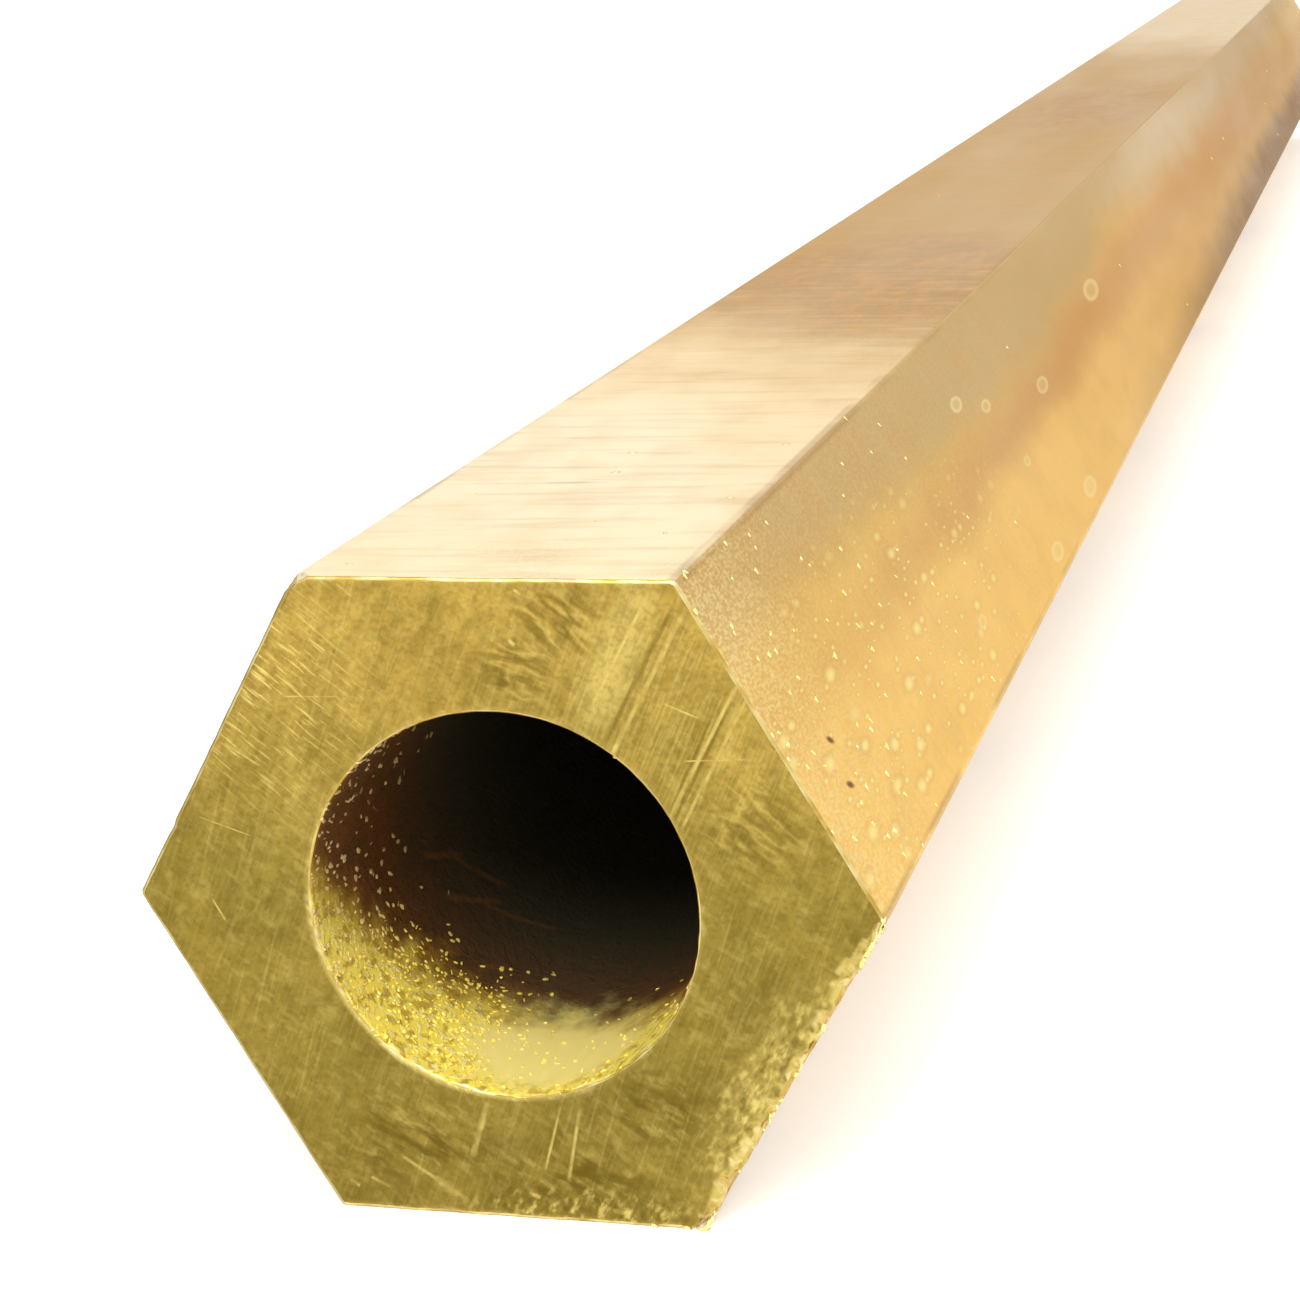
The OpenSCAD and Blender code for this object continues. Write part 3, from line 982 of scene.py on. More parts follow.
def tilted(tree, facing, most, seed):
    """A rotation turned on by random angles, up to most either way about each of its own axes."""
    least = [-angle for angle in most]
    angles = add(tree, "FunctionNodeRandomValue", {0: least, 1: most, "Seed": seed}, data_type="FLOAT_VECTOR")
    return add(tree, "FunctionNodeRotateRotation", {
        "Rotation": facing, "Rotate By": add(tree, "FunctionNodeEulerToRotation", {0: angles})},
        rotation_space="LOCAL")


def strewn(tree, size, points, facing, limits, coarse=1.0):
    """Puts a small faceted grain on each point, its half sizes random between two limits in millimetres."""
    grain = add(tree, "GeometryNodeMeshIcoSphere", {"Radius": 1.0, "Subdivisions": 1})
    low, high = (metres(limit) for limit in limits)
    half_sizes = add(tree, "FunctionNodeRandomValue", {
        0: low, 1: high, "Seed": size["Seed"]}, data_type="FLOAT_VECTOR")
    swell = add(tree, "ShaderNodeVectorMath", {0: half_sizes, 3: coarse}, operation="SCALE")
    placed = add(tree, "GeometryNodeInstanceOnPoints", {
        "Points": points, "Instance": grain, "Rotation": facing, "Scale": swell})
    real = add(tree, "GeometryNodeRealizeInstances", {"Geometry": placed})
    return add(tree, "GeometryNodeSetMaterial", {"Geometry": real, "Material": size["Material"]})


# Columns and rows of points on the walls that grains and flecks are strewn over
GRAIN_GRID = {"Vertices X": 145, "Vertices Y": 31}
FLECK_GRID = {"Vertices X": 145, "Vertices Y": 101}
# Least and greatest half sizes of each kind of grain along its three axes, in millimetres
GRAIN_SIZES = ((0.03, 0.02, 0.01), (0.17, 0.13, 0.07))
FLECK_SIZES = ((0.10, 0.09, 0.02), (0.26, 0.34, 0.05))
BURR_SIZES = ((0.06, 0.04, 0.04), (0.45, 0.12, 0.16))
# The most that each kind is turned either way about its three axes, in radians, and the tilts' seeds
ANY_SPIN = (0, 0, math.pi)
GRAIN_TILT, GRAIN_TILT_SEED = (0.7, 0.7, 0), 3
BURR_TILT, BURR_TILT_SEED = (0.3, 0.5, 0.3), 5
# Size of the clumps that torn grains lie in, in millimetres
CLUMP_SIZE = 1.1
# Flecks thicken over this many millimetres before a sawn end, by this power, from this share
FLECK_REACH = 70
FLECK_POWER = 3.0
FLECK_LEAST = 0.01
# Cosine of a side's turn from the upper right one where flecks are fewest and where they are most, and
# the fewest as a share of the most
FLECK_FACING = (0.6, 0.95)
FLECK_FEW = 0.12


def torn_grains(tree, size):
    """Torn grains low in both mouths of the bore, thinning out up its sides and further in."""
    turn, along = grid_shares(tree)
    ring = round_ring(tree, turn, size["Bore radius"])
    grid = add(tree, "GeometryNodeMeshGrid", GRAIN_GRID)
    half = combined(tree, "MULTIPLY", (size["Cut length"], 0.5))
    inward = combined(tree, "MULTIPLY", (along, size["Grain depth"]))
    left = combined(tree, "SUBTRACT", (half, inward))
    placed = [combined(tree, "MULTIPLY", (left, hand)) for hand in (-1, 1)]
    mouths = joined(tree, [
        add(tree, "GeometryNodeSetPosition", {
            "Geometry": grid, "Position": moved_along(tree, size, ring, end)})
        for end in placed])
    place = add(tree, "ShaderNodeSeparateXYZ", {0: add(tree, "GeometryNodeInputPosition")}).outputs
    away = add(tree, "ShaderNodeMath", {0: place["Y"]}, operation="ABSOLUTE")
    depth = combined(tree, "SUBTRACT", (half, away))
    beyond = combined(tree, "SUBTRACT", (depth, lit_torn_depth(tree, place)))
    # Few on the right, where the wall is rubbed smooth, and more up the left
    thick, rubbed, sparse, leftward, coarse = (
        add(tree, "ShaderNodeMapRange", {
            "Value": value, "From Min": first * MM, "From Max": last * MM, "To Min": least, "To Max": most})
        for value, first, last, least, most in (
            (beyond, 2, -2, 0.0, 1.0), (place["X"], 0, -4, 0.12, 1.0), (depth, 17, 0, 0.0, 0.2),
            (place["X"], 1, -6, 0.05, 1.0), (beyond, -1, 2, 1.25, 1.6)))
    clumps = add(tree, "ShaderNodeTexNoise", {"Scale": 1 / (CLUMP_SIZE * MM), "Detail": 2.0})
    clumped = add(tree, "ShaderNodeMapRange", {
        "Value": clumps, "From Min": 0.38, "From Max": 0.62, "To Min": 0.1, "To Max": 1.4})
    share = combined(tree, "MAXIMUM", (
        combined(tree, "MULTIPLY", (thick, rubbed, clumped)), combined(tree, "MULTIPLY", (sparse, leftward))))
    points = add(tree, "GeometryNodeDistributePointsOnFaces", {
        "Mesh": mouths, "Density": combined(tree, "MULTIPLY", (share, size["Grain density"])),
        "Seed": size["Seed"]})
    facing = tilted(tree, points.outputs["Rotation"], GRAIN_TILT, GRAIN_TILT_SEED)
    facing = tilted(tree, facing, ANY_SPIN, size["Seed"])
    return strewn(tree, size, points, facing, GRAIN_SIZES, coarse)


def bright_flecks(tree, size):
    """Low bright flecks on the flats, thickest near the sawn ends and on the upper right side."""
    turn, along = grid_shares(tree)
    ring, _, _ = hexagon_ring(tree, turn, (size["Reach"], size["Corner radius"]))
    grid = add(tree, "GeometryNodeMeshGrid", FLECK_GRID)
    centred = combined(tree, "SUBTRACT", (along, 0.5))
    placed = combined(tree, "MULTIPLY", (centred, size["Cut length"]))
    wall = add(tree, "GeometryNodeSetPosition", {
        "Geometry": grid, "Position": moved_along(tree, size, ring, placed)})
    place = add(tree, "ShaderNodeSeparateXYZ", {0: add(tree, "GeometryNodeInputPosition")}).outputs
    away = add(tree, "ShaderNodeMath", {0: place["Y"]}, operation="ABSOLUTE")
    by_end = add(tree, "ShaderNodeMapRange", {
        "Value": away, "From Min": HALF_LENGTH - FLECK_REACH * MM, "From Max": HALF_LENGTH})
    crowding = combined(tree, "POWER", (by_end, FLECK_POWER))
    few = add(tree, "ShaderNodeMath", {
        0: crowding, 1: 1 - FLECK_LEAST, 2: FLECK_LEAST}, operation="MULTIPLY_ADD")
    # The side that faces up and to the right has the most
    facing = add(tree, "ShaderNodeVectorMath", {
        0: add(tree, "GeometryNodeInputNormal"), 1: (math.cos(HALF_STEP), 0, math.sin(HALF_STEP))},
        operation="DOT_PRODUCT")
    first, last = FLECK_FACING
    chosen = add(tree, "ShaderNodeMapRange", {
        "Value": facing.outputs["Value"], "From Min": first, "From Max": last,
        "To Min": FLECK_FEW, "To Max": 1.0})
    points = add(tree, "GeometryNodeDistributePointsOnFaces", {
        "Mesh": wall, "Density": combined(tree, "MULTIPLY", (few, chosen, size["Fleck density"])),
        "Seed": size["Seed"]})
    turned = tilted(tree, points.outputs["Rotation"], ANY_SPIN, size["Seed"])
    return strewn(tree, size, points, turned, FLECK_SIZES)


# Worn stretches of a rim: step of the seed, and first and last share of the way round from the top's left
BURRED = ((0, 1.95 / SIDES, 3.2 / SIDES), (100, 1.98 / SIDES, 2.2 / SIDES))
# Burrs are sunk into the corner of the rim: share of the outline's reach and depth from the end
BURR_SUNK = 0.995
BURR_DEPTH = 0.06 * MM


def edge_burrs(tree, size):
    """Slivers of metal pushed up along the rims of both sawn ends, most of them on the lower right."""
    half = combined(tree, "MULTIPLY", (size["Cut length"], 0.5))
    end = combined(tree, "SUBTRACT", (half, BURR_DEPTH))
    stretches = []
    for hand in (-1, 1):
        for step, first, last in BURRED:
            seed = combined(tree, "ADD", (size["Seed"], step + 10 * hand))
            turn = add(tree, "FunctionNodeRandomValue", {2: first, 3: last, "Seed": seed}, data_type="FLOAT")
            ring, _, angle = hexagon_ring(tree, turn, (size["Reach"], size["Corner radius"]))
            sunk = add(tree, "ShaderNodeVectorMath", {0: ring, 3: BURR_SUNK}, operation="SCALE")
            point = moved_along(tree, size, sunk, combined(tree, "MULTIPLY", (end, hand)))
            points = add(tree, "GeometryNodePoints", {"Count": size["Burr count"], "Position": point})
            upright = add(tree, "ShaderNodeCombineXYZ", {"Y": angle})
            stretches.append(add(tree, "GeometryNodeStoreNamedAttribute", {
                "Geometry": points, "Name": "lie", "Value": upright},
                data_type="FLOAT_VECTOR", domain="POINT"))
    lie = add(tree, "GeometryNodeInputNamedAttribute", {"Name": "lie"}, data_type="FLOAT_VECTOR")
    along_rim = add(tree, "FunctionNodeEulerToRotation", {0: lie})
    facing = tilted(tree, along_rim, BURR_TILT, BURR_TILT_SEED)
    return strewn(tree, size, joined(tree, stretches), facing, BURR_SIZES)


# Where the noise of seed nought begins on each axis, and how far each step of the seed moves it
SEED_START = 0.5
SEED_STEPS = (7.31, 3.17, 5.71)


def wobble(points, size, seed):
    """Smooth random numbers between -1 and 1 at points, which change over about size."""
    shift = Vector([seed * step + SEED_START for step in SEED_STEPS])
    return np.array([noise.noise(Vector(p) / size + shift) for p in points])


def ragged_wobble(points, sizes, seed):
    """A wobble of the first size with a finer and weaker one on top."""
    coarse, fine = sizes
    return wobble(points, coarse, seed) + FINE_SHARE * wobble(points, fine, seed + 1)


def lined(points, angle, run, width, seed):
    """Smooth random numbers that run in lines at angle over a sawn end."""
    c, s = math.cos(angle), math.sin(angle)
    along = (points[:, 0] * c + points[:, 1] * s) / run
    across = (points[:, 1] * c - points[:, 0] * s) / width
    return wobble(np.stack([along, across, np.zeros(len(points))], 1), 1.0, seed)


def falloff(distance, size):
    """One at nought and nothing from size onwards, with a smooth bell between."""
    near = np.clip(1 - (distance / size) ** 2, 0, 1)
    return near * near


def to_stroke(points, start, end):
    """Distance from points on a sawn end to a straight stroke."""
    a, b = np.array(start, float), np.array(end, float)
    run = b - a
    share = np.clip(((points - a) @ run) / (run @ run), 0, 1)
    return np.linalg.norm(points - a - share[:, None] * run, axis=1)


FLAT_NORMALS = np.array([
    (math.sin(side * SIDE_STEP), math.cos(side * SIDE_STEP)) for side in range(SIDES)])
# How each rim of a sawn end is broken, in the order of the sides: width and waviness of the broken
# edge in millimetres, and its painted light, from -1 for a dark line of painted shade to 1 for fresh metal
# with a painted highlight
RIM_EDGES = np.array((
    (0.18, 0.03, 0.4), (0.14, 0.015, 0.8), (0.48, 0.22, 0.8),
    (0.20, 0.05, 0.4), (0.12, 0.03, -0.9), (0.12, 0.03, -1.0)))
# A rim with more waviness than this is torn as well as wavy
TORN_FROM = 0.1
# Dents in a sawn end: centre from the bore's axis, radius and depth, all in millimetres
NEAR_DINGS = (
    (10.5, -8.4, 0.5, 0.16), (8.6, -12.1, 0.45, 0.16), (9.15, -12.9, 0.4, 0.14), (5.5, -13.7, 0.6, 0.16),
    (0.3, -13.7, 0.35, 0.12), (3.3, -13.4, 0.4, 0.12), (-14.8, 0.7, 0.55, 0.16), (-13.9, 2.3, 0.3, 0.1),
    (12.9, -6.1, 0.35, 0.1), (11.7, -9.0, 0.4, 0.12), (6.9, -13.2, 0.4, 0.12), (13.6, -3.9, 0.35, 0.1),
    (-15.4, 3.1, 0.5, 0.22))
FAR_DINGS = (
    (-9.5, 9.5, 0.5, 0.15), (12.5, 3.5, 0.4, 0.12), (-4.0, -12.5, 0.45, 0.14), (6.0, 12.9, 0.35, 0.1))
# Deep scratches in the near end: both ends, half width and depth, in millimetres
NEAR_GOUGES = (
    ((-4.8, -12.3), (-2.6, -14.1), 0.30, 0.10), ((9.2, 14.0), (5.2, 6.7), 0.28, 0.03),
    ((11.3, 10.7), (7.6, 3.9), 0.25, 0.02), ((-7.2, -13.4), (-6.2, -13.9), 0.25, 0.05))
# Corners knocked off by a fall: both ends of each cut, in millimetres
NEAR_KNOCKS = (((9.8, -13.55), (7.7, -15.1)), ((-9.1, 14.2), (-7.8, 15.0)))
FAR_KNOCKS = (((17.0, -0.6), (16.7, 1.0)),)
# Ridges of a sawn face: angle in degrees, length and width in millimetres, and share of the height
RIDGES = ((67, 7, 0.7, 1.0), (-38, 3, 0.6, 0.5))
# Depths below a sawn end in millimetres: what its wear reaches, what belongs to its face, what dents and
# scratches reach, what counts as its broken edge, and over what a bite of the outline fades
WORN_DEPTH = 4
FACE_DEPTH = 0.16
DENT_DEPTH = 0.3
BROKEN_DEPTH = 0.5
BITE_DEPTH = 0.6
# Torn edges: strength of their fine part beside the coarse one, and sizes of both in millimetres
FINE_SHARE = 0.6
RAGGED_SIZES = (0.55, 0.25)
# Share of its width by which a torn edge wanders
TORN_SHARE = 0.8
# Slopes of the broken edge round the rim, of the mouth's and of a knocked corner's cut
RIM_SLOPE = 0.75
MOUTH_SLOPE = 0.8
KNOCK_SLOPE = 0.45
# Bites out of the outline, in shares of its rim's waviness: their mean, slow and ragged parts and the
# most they reach. Size of the slow part in millimetres, squeezed along the stock, and how far from the
# bore a bite is whole.
BITE_MEAN, BITE_SLOW, BITE_RAGGED, BITE_MOST = 0.5, 0.9, 0.5, 2
BITE_SIZE = 1.3
BITE_STRETCH = [1, 0.4, 1]
BITE_WHOLE = 3
# How far a knocked corner's cut wanders, in millimetres
KNOCK_WANDER = 0.12
# The mouth's broken edge: where it is widest, how far round that goes, its width in millimetres, how
# much wider it gets, and how far its torn edge wanders
LIP_BEARING = math.radians(-130)
LIP_SPREAD = 1.3
LIP_WIDTH, LIP_GAIN, LIP_WANDER = 0.10, 0.12, 0.015
# Painted light of the broken metal, partly fresh metal and partly painted highlight: over how many
# millimetres it comes in at the rim and at the mouth, how far past the mouth's edge it goes, and how
# bright the mouth is and how much more where it is widest
RIM_BLEND = 0.12
LIP_BLEND, LIP_MARGIN = 0.1, 0.05
LIP_SHINE, LIP_SHINE_GAIN = 0.35, 0.5
# Steps of the seed for torn edges, bites, the far end, the flats' waves and the bore's grain
RAGGED_SEED, BITE_SEED, FAR_SEED, WAVE_SEED, BORE_SEED = 2, 4, 20, 40, 50


def nearest_side(across):
    """The side nearest to each point of the section, and how far out the point is towards it."""
    support = across @ FLAT_NORMALS.T
    return support.argmax(1), support.max(1)


def wear_end(points, outward, seed, dings, gouges, knocks):
    """Roughens one sawn end. points are in millimetres from the bore's axis and are changed in place.

    Returns the painted light of the broken metal at each point, from -1 for painted shade to 1 for fresh
    metal with a painted highlight.
    """
    wear = bpy.context.scene.hextube_wear
    reach, bore, half = REACH / MM, BORE_RADIUS / MM, HALF_LENGTH / MM
    depth = half - outward * points[:, 1]
    near = np.nonzero(depth < WORN_DEPTH)[0]
    start = depth[near]
    flat = points[near][:, [0, 2]]
    side, out = nearest_side(flat)
    r = np.hypot(flat[:, 0], flat[:, 1])
    spots = np.stack([flat[:, 0], start, flat[:, 1]], 1)
    width, wave, bright = RIM_EDGES[side].T
    face = np.clip(1 - start / FACE_DEPTH, 0, 1)
    shallow = start < DENT_DEPTH

    # The face lies under its burrs, ridged by the saw
    ridges = sum(height * lined(flat, math.radians(angle), run, across, seed + number)
                 for number, (angle, run, across, height) in enumerate(RIDGES))
    ground = wear.recess / MM + wear.saw_depth / MM * ridges
    depth = start + face * ground
    # Torn, wavy broken edges
    ragged = ragged_wobble(spots, RAGGED_SIZES, seed + RAGGED_SEED)
    torn = width * (1 + TORN_SHARE * ragged * (wave > TORN_FROM))
    into = np.clip(out - (reach - torn), 0, None)
    depth = np.maximum(depth, face * ground + into * RIM_SLOPE)
    # The outline itself is knocked about
    slow = wobble(spots * BITE_STRETCH, BITE_SIZE, seed + BITE_SEED)
    bite = wave * np.clip(BITE_MEAN + BITE_SLOW * slow + BITE_RAGGED * ragged, 0, BITE_MOST)
    bite = bite * np.exp(-start / BITE_DEPTH) * np.clip((r - bore) / BITE_WHOLE, 0, 1)
    # Dents, scratches and the mouth's uneven broken edge
    for x, z, radius, deep in dings:
        depth = depth + deep * falloff(np.hypot(flat[:, 0] - x, flat[:, 1] - z), radius) * shallow
    for first, last, radius, deep in gouges:
        depth = depth + deep * falloff(to_stroke(flat, first, last), radius) * shallow
    bearing = np.arctan2(flat[:, 1], flat[:, 0])
    low_left = falloff(np.abs((bearing - LIP_BEARING + math.pi) % math.tau - math.pi), LIP_SPREAD)
    lip = LIP_WIDTH + LIP_GAIN * low_left + LIP_WANDER * ragged
    depth = np.maximum(depth, face * ground + np.clip(bore + lip - r, 0, None) * MOUTH_SLOPE)
    scale = 1 - bite / np.maximum(out, 1)
    flat = flat * scale[:, None]
    for (x0, z0), (x1, z1) in knocks:
        away = np.array([z0 - z1, x1 - x0]) * np.sign((z0 - z1) * x0 + (x1 - x0) * z0)
        away = away / np.linalg.norm(away)
        over = (flat - [x0, z0]) @ away - KNOCK_SLOPE * start - KNOCK_WANDER * ragged
        flat = flat - np.clip(over, 0, None)[:, None] * away
    points[near, 0], points[near, 2] = flat[:, 0], flat[:, 1]
    points[near, 1] = outward * (half - depth)
    shine = np.zeros(len(points))
    # Share of the way from the sawn face into the broken edge
    broken = np.clip((out - (reach - torn)) / RIM_BLEND, 0, 1) * (start < BROKEN_DEPTH)
    mouth = np.clip((bore + lip + LIP_MARGIN - r) / LIP_BLEND, 0, 1) * shallow
    lip_shine = LIP_SHINE + LIP_SHINE_GAIN * low_left
    shine[near] = np.where(mouth > 0, lip_shine * mouth, broken * bright)
    return shine


# Waves in the flats in millimetres: how long they are, how much longer along the stock, as a share of
# the length that is left, and how far under a flat's surface a point still belongs to it
WAVE_SIZE = 9.0
WAVE_STRETCH = [1, 0.25, 1]
SKIN = 0.2
# The rough bore in millimetres: how far outside its radius a point still belongs to it, sizes of its
# coarse and fine grain, the grain's height, how much more there is low in a mouth and how deep that goes
BORE_SKIN = 0.02
BORE_GRAIN = (0.7, 0.35)
BORE_ROUGHNESS = 0.02
MOUTH_ROUGHNESS = 0.10
MOUTH_REACH = 6


def wear_stock(mesh):
    """Wears the whole stock and stores what the materials need to know about each point."""
    wear = bpy.context.scene.hextube_wear
    reach = REACH / MM
    places = np.empty(len(mesh.vertices) * 3)
    mesh.vertices.foreach_get("co", places)
    points = places.reshape(-1, 3) / MM
    points[:, 2] -= reach
    side, out = nearest_side(points[:, [0, 2]])
    # Distance to the nearer sharp corner, measured along the flat
    across = np.abs(points[:, 0] * FLAT_NORMALS[side, 1] - points[:, 2] * FLAT_NORMALS[side, 0])
    corner_gap = reach * math.tan(HALF_STEP) - across

    shine = wear_end(points, -1, wear.seed, NEAR_DINGS, NEAR_GOUGES, NEAR_KNOCKS)
    shine += wear_end(points, 1, wear.seed + FAR_SEED, FAR_DINGS, (), FAR_KNOCKS)
    # Long shallow waves in the flats, always into the metal
    outer = out > reach - SKIN
    waves = wobble(points[outer] * WAVE_STRETCH, WAVE_SIZE, wear.seed + WAVE_SEED)
    inward = wear.flat_wave / MM * (0.5 + 0.5 * waves) / np.maximum(out[outer], 1)
    # Rough drawn bore, roughest at the bottom of its mouths
    r = np.hypot(points[:, 0], points[:, 2])
    inside = r < BORE_RADIUS / MM + BORE_SKIN
    low = np.clip(-points[inside, 2] / r[inside], 0, 1)
    depth = HALF_LENGTH / MM - np.abs(points[inside, 1])
    rough = ragged_wobble(points[inside], BORE_GRAIN, wear.seed + BORE_SEED)
    swell = rough * (BORE_ROUGHNESS + MOUTH_ROUGHNESS * low * np.exp(-depth / MOUTH_REACH)) / r[inside]
    for axis in (0, 2):
        points[outer, axis] *= 1 - inward
        points[inside, axis] *= 1 + swell
    points[:, 2] += reach
    mesh.vertices.foreach_set("co", (points * MM).ravel())
    for name, values in (("rim", shine), ("corner_gap", corner_gap * MM)):
        layer = mesh.attributes.new(name, "FLOAT", "POINT")
        layer.data.foreach_set("value", values.astype(np.float32))
    mesh.update()


def settle(piece, smooth=True):
    """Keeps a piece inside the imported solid's box and hands it to the frame."""
    mesh = piece.data
    places = np.empty(len(mesh.vertices) * 3)
    mesh.vertices.foreach_get("co", places)
    places = np.clip(places.reshape(-1, 3), np.array(LOW), np.array(HIGH))
    mesh.vertices.foreach_set("co", places.ravel())
    if smooth:
        mesh.shade_smooth()
    else:
        mesh.shade_flat()
    mesh.update()
    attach(piece, "root")


def settings(scene, *names):
    """The sizes and amounts of wear with these names, as inputs for a Geometry Nodes tree."""
    found = {}
    for name in names:
        key = name.lower().replace(" ", "_")
        group = next(g for g in (scene.hextube_sizes, scene.hextube_wear) if hasattr(g, key))
        found[name] = getattr(group, key)
    return found


class HEXTUBE_OT_stock(bpy.types.Operator):
    """Make the drawn stock with its sawn ends and bore, worn all over"""

    bl_idname = "hextube.make_stock"
    bl_label = "Drawn stock"

    def execute(self, context):
        values = settings(
            context.scene, "Reach", "Bore radius", "Corner radius", "Cut length", "Rim break", "Mouth break",
            "Columns", "Face rings", "Wall rows", "Bore rows")
        values.update({band: finish_named(finish) for band, finish in BANDS.items()})
        piece = grow("drawn_hexagonal_stock", drawn_stock, values)
        wear_stock(piece.data)
        settle(piece)
        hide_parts(NODE)
        return {"FINISHED"}


class HEXTUBE_OT_grains(bpy.types.Operator):
    """Strew torn grains of metal in the mouths of the bore"""

    bl_idname = "hextube.strew_grains"
    bl_label = "Torn grains"

    def execute(self, context):
        values = settings(
            context.scene, "Reach", "Bore radius", "Cut length", "Grain depth", "Grain density", "Seed")
        values["Material"] = finish_named("torn_brass_grain")
        settle(grow("torn_grains", torn_grains, values), smooth=False)
        return {"FINISHED"}


class HEXTUBE_OT_flecks(bpy.types.Operator):
    """Strew low bright flecks over the flats"""

    bl_idname = "hextube.strew_flecks"
    bl_label = "Flecks"

    def execute(self, context):
        values = settings(context.scene, "Reach", "Corner radius", "Cut length", "Fleck density", "Seed")
        values["Material"] = finish_named("fresh_brass_burr")
        settle(grow("bright_flecks", bright_flecks, values))
        return {"FINISHED"}


class HEXTUBE_OT_burrs(bpy.types.Operator):
    """Raise burr slivers along the rims of the sawn ends"""

    bl_idname = "hextube.raise_burrs"
    bl_label = "Edge burrs"

    def execute(self, context):
        values = settings(context.scene, "Reach", "Corner radius", "Cut length", "Burr count", "Seed")
        values["Material"] = finish_named("fresh_brass_burr")
        settle(grow("edge_burrs", edge_burrs, values))
        return {"FINISHED"}


# Light of the white world on matt surfaces, beside 1.0 for the camera and the metal
WORLD_FILL = 0.8
FLOOR_HALF = 6.0
PAPER_WHITE = (0.82, 0.82, 0.82, 1)
PURE_WHITE = (1, 1, 1, 1)
# What the floor gives off on top, towards the camera and towards the metal that mirrors it
FLOOR_GLOW = 0.4
MIRRORED_GLOW = 0.15
# Square lamps: place and aim in metres, side length and radiance
SOFTBOXES = {
    "back_softbox": ((-0.35, 1.2, 0.75), (0, 0, 0), 0.8, 0.35),
    "side_softbox": ((1.3, -0.1, 0.9), (0, 0, 0), 0.9, 0.3),
    "key_softbox": ((0.12, -1.3, 1.3), (0, -0.25, 0), 1.2, 5.8),
}
# Camera, in widths across the flats from the near end's middle: it stands to the right and above
CAMERA_PLACE = (1.329, -3.963, 1.474)
CAMERA_AIM = (0.248, 0.0, 0.398)
CAMERA_ROLL = math.radians(2.95)
CAMERA_LENS = 82.8
CAMERA_SENSOR = 36.0
CAMERA_CLIP = (0.01, 50.0)


def studio_world(scene):
    """White all round for the camera and for the metal, and a softer fill for matt surfaces."""
    world = bpy.data.worlds.new("studio")
    world.use_nodes = True
    tree = world.node_tree
    tree.nodes.clear()
    rays = add(tree, "ShaderNodeLightPath").outputs
    seen = combined(tree, "MAXIMUM", (
        rays["Is Camera Ray"], rays["Is Glossy Ray"], rays["Is Transmission Ray"]))
    level = add(tree, "ShaderNodeMapRange", {"Value": seen, "To Min": WORLD_FILL, "To Max": 1.0})
    white = add(tree, "ShaderNodeBackground", {"Color": PURE_WHITE, "Strength": level})
    add(tree, "ShaderNodeOutputWorld", {"Surface": white})
    scene.world = world


def pale_floor():
    """Plain white floor that keeps the object's shadow."""
    mesh = bpy.data.meshes.new("floor")
    corners = [(x * FLOOR_HALF, y * FLOOR_HALF, 0) for x, y in ((-1, -1), (1, -1), (1, 1), (-1, 1))]
    mesh.from_pydata(corners, [], [(0, 1, 2, 3)])
    floor = bpy.data.objects.new("floor", mesh)
    bpy.context.scene.collection.objects.link(floor)
    material = bpy.data.materials.new("matt_white_paper")
    material.use_nodes = True
    tree = material.node_tree
    tree.nodes.clear()
    paper = add(tree, "ShaderNodeBsdfDiffuse", {"Color": PAPER_WHITE})
    rays = add(tree, "ShaderNodeLightPath").outputs
    mirrored = combined(tree, "MAXIMUM", (rays["Is Glossy Ray"], rays["Is Transmission Ray"]))
    mirror_glow = combined(tree, "MULTIPLY", (mirrored, MIRRORED_GLOW))
    glow = add(tree, "ShaderNodeMath", {
        0: rays["Is Camera Ray"], 1: FLOOR_GLOW, 2: mirror_glow}, operation="MULTIPLY_ADD")
    lift = add(tree, "ShaderNodeEmission", {"Color": PURE_WHITE, "Strength": glow})
    both = add(tree, "ShaderNodeAddShader", {0: paper, 1: lift})
    add(tree, "ShaderNodeOutputMaterial", {"Surface": both})
    mesh.materials.append(material)


def softbox(name, place, aim, size, radiance):
    """A square area lamp of an even radiance, aimed at a place and hidden from the camera."""
    lamp = bpy.data.lights.new(name, "AREA")
    lamp.shape = "SQUARE"
    lamp.size = size
    lamp.energy = radiance * math.pi * size * size
    holder = bpy.data.objects.new(name, lamp)
    holder.location = place
    holder.rotation_euler = (Vector(aim) - Vector(place)).to_track_quat("-Z", "Y").to_euler()
    holder.visible_camera = False
    bpy.context.scene.collection.objects.link(holder)


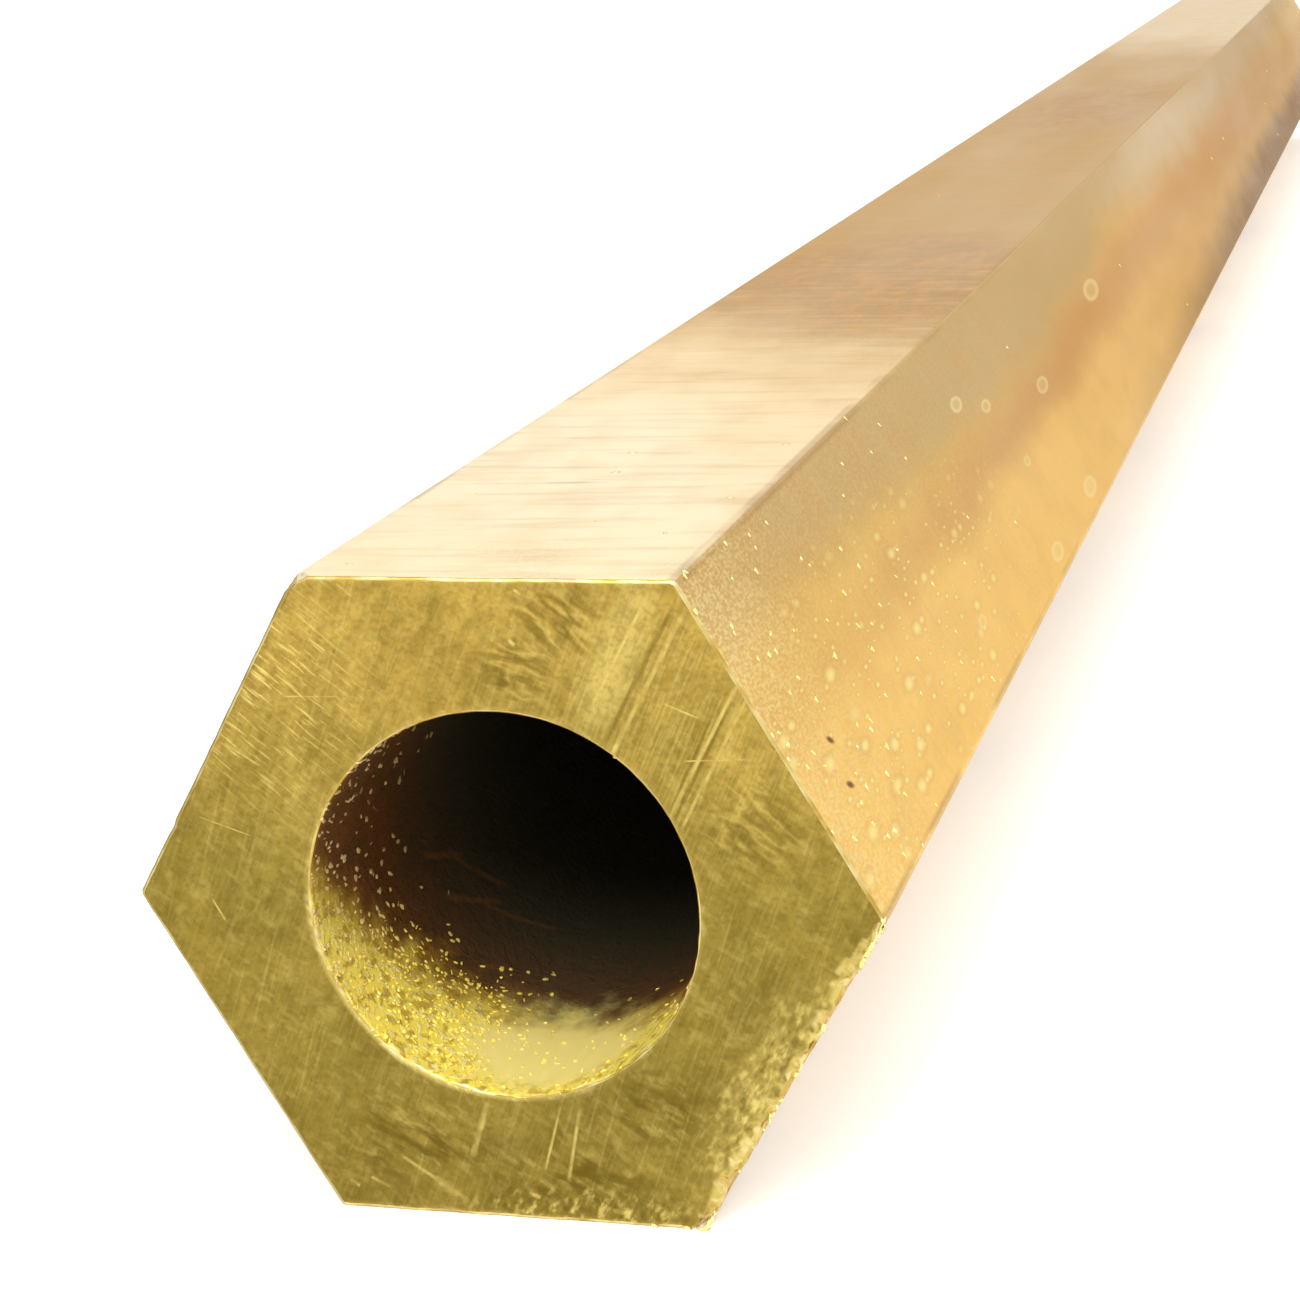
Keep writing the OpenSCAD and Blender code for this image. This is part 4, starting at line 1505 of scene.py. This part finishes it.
def photo_camera(scene):
    """The camera at the photograph's viewing angle."""
    width = 2 * REACH
    data = bpy.data.cameras.new("camera")
    data.lens = CAMERA_LENS
    data.sensor_width = CAMERA_SENSOR
    data.clip_start, data.clip_end = CAMERA_CLIP
    middle = Vector((0, NEAR_Y, REACH))
    place = middle + Vector(CAMERA_PLACE) * width
    aim = middle + Vector(CAMERA_AIM) * width
    camera = bpy.data.objects.new("camera", data)
    look = (aim - place).to_track_quat("-Z", "Y").to_matrix()
    camera.matrix_world = Matrix.Translation(place) @ (look @ Matrix.Rotation(-CAMERA_ROLL, 3, "Z")).to_4x4()
    scene.collection.objects.link(camera)
    scene.camera = camera


class HEXTUBE_OT_stage(bpy.types.Operator):
    """Set out the white floor, the soft lamps and the camera"""

    bl_idname = "hextube.set_stage"
    bl_label = "Stage"

    def execute(self, context):
        scene = context.scene
        scene.view_settings.view_transform = "Standard"
        studio_world(scene)
        pale_floor()
        for name, lamp in SOFTBOXES.items():
            softbox(name, *lamp)
        photo_camera(scene)
        return {"FINISHED"}


class HEXTUBE_PT_panel(bpy.types.Panel):
    """Lists the tube's sizes, colours and steps"""

    bl_idname = "HEXTUBE_PT_panel"
    bl_label = "Brass tube"
    bl_space_type = "VIEW_3D"
    bl_region_type = "UI"
    bl_category = "Brass Tube"

    def draw(self, context):
        for key in GROUPS:
            group = getattr(context.scene, key)
            column = self.layout.column(align=True)
            for name in group.__annotations__:
                column.prop(group, name)
        for step in STEPS:
            self.layout.operator(step.bl_idname)


GROUPS = {
    "hextube_sizes": HEXTUBE_PG_sizes,
    "hextube_wear": HEXTUBE_PG_wear,
    "hextube_colours": HEXTUBE_PG_colours,
}
STEPS = (HEXTUBE_OT_stage, HEXTUBE_OT_stock, HEXTUBE_OT_grains, HEXTUBE_OT_flecks, HEXTUBE_OT_burrs)
CLASSES = (*GROUPS.values(), *STEPS, HEXTUBE_PT_panel)


def register():
    for cls in CLASSES:
        bpy.utils.register_class(cls)
    for name, group in GROUPS.items():
        setattr(bpy.types.Scene, name, PointerProperty(type=group))


def unregister():
    for name in GROUPS:
        delattr(bpy.types.Scene, name)
    for cls in reversed(CLASSES):
        bpy.utils.unregister_class(cls)


def main():
    register()
    bpy.ops.hextube.set_stage()
    bpy.ops.hextube.make_stock()
    bpy.ops.hextube.strew_grains()
    bpy.ops.hextube.strew_flecks()
    bpy.ops.hextube.raise_burrs()


if __name__ == "__main__":
    main()
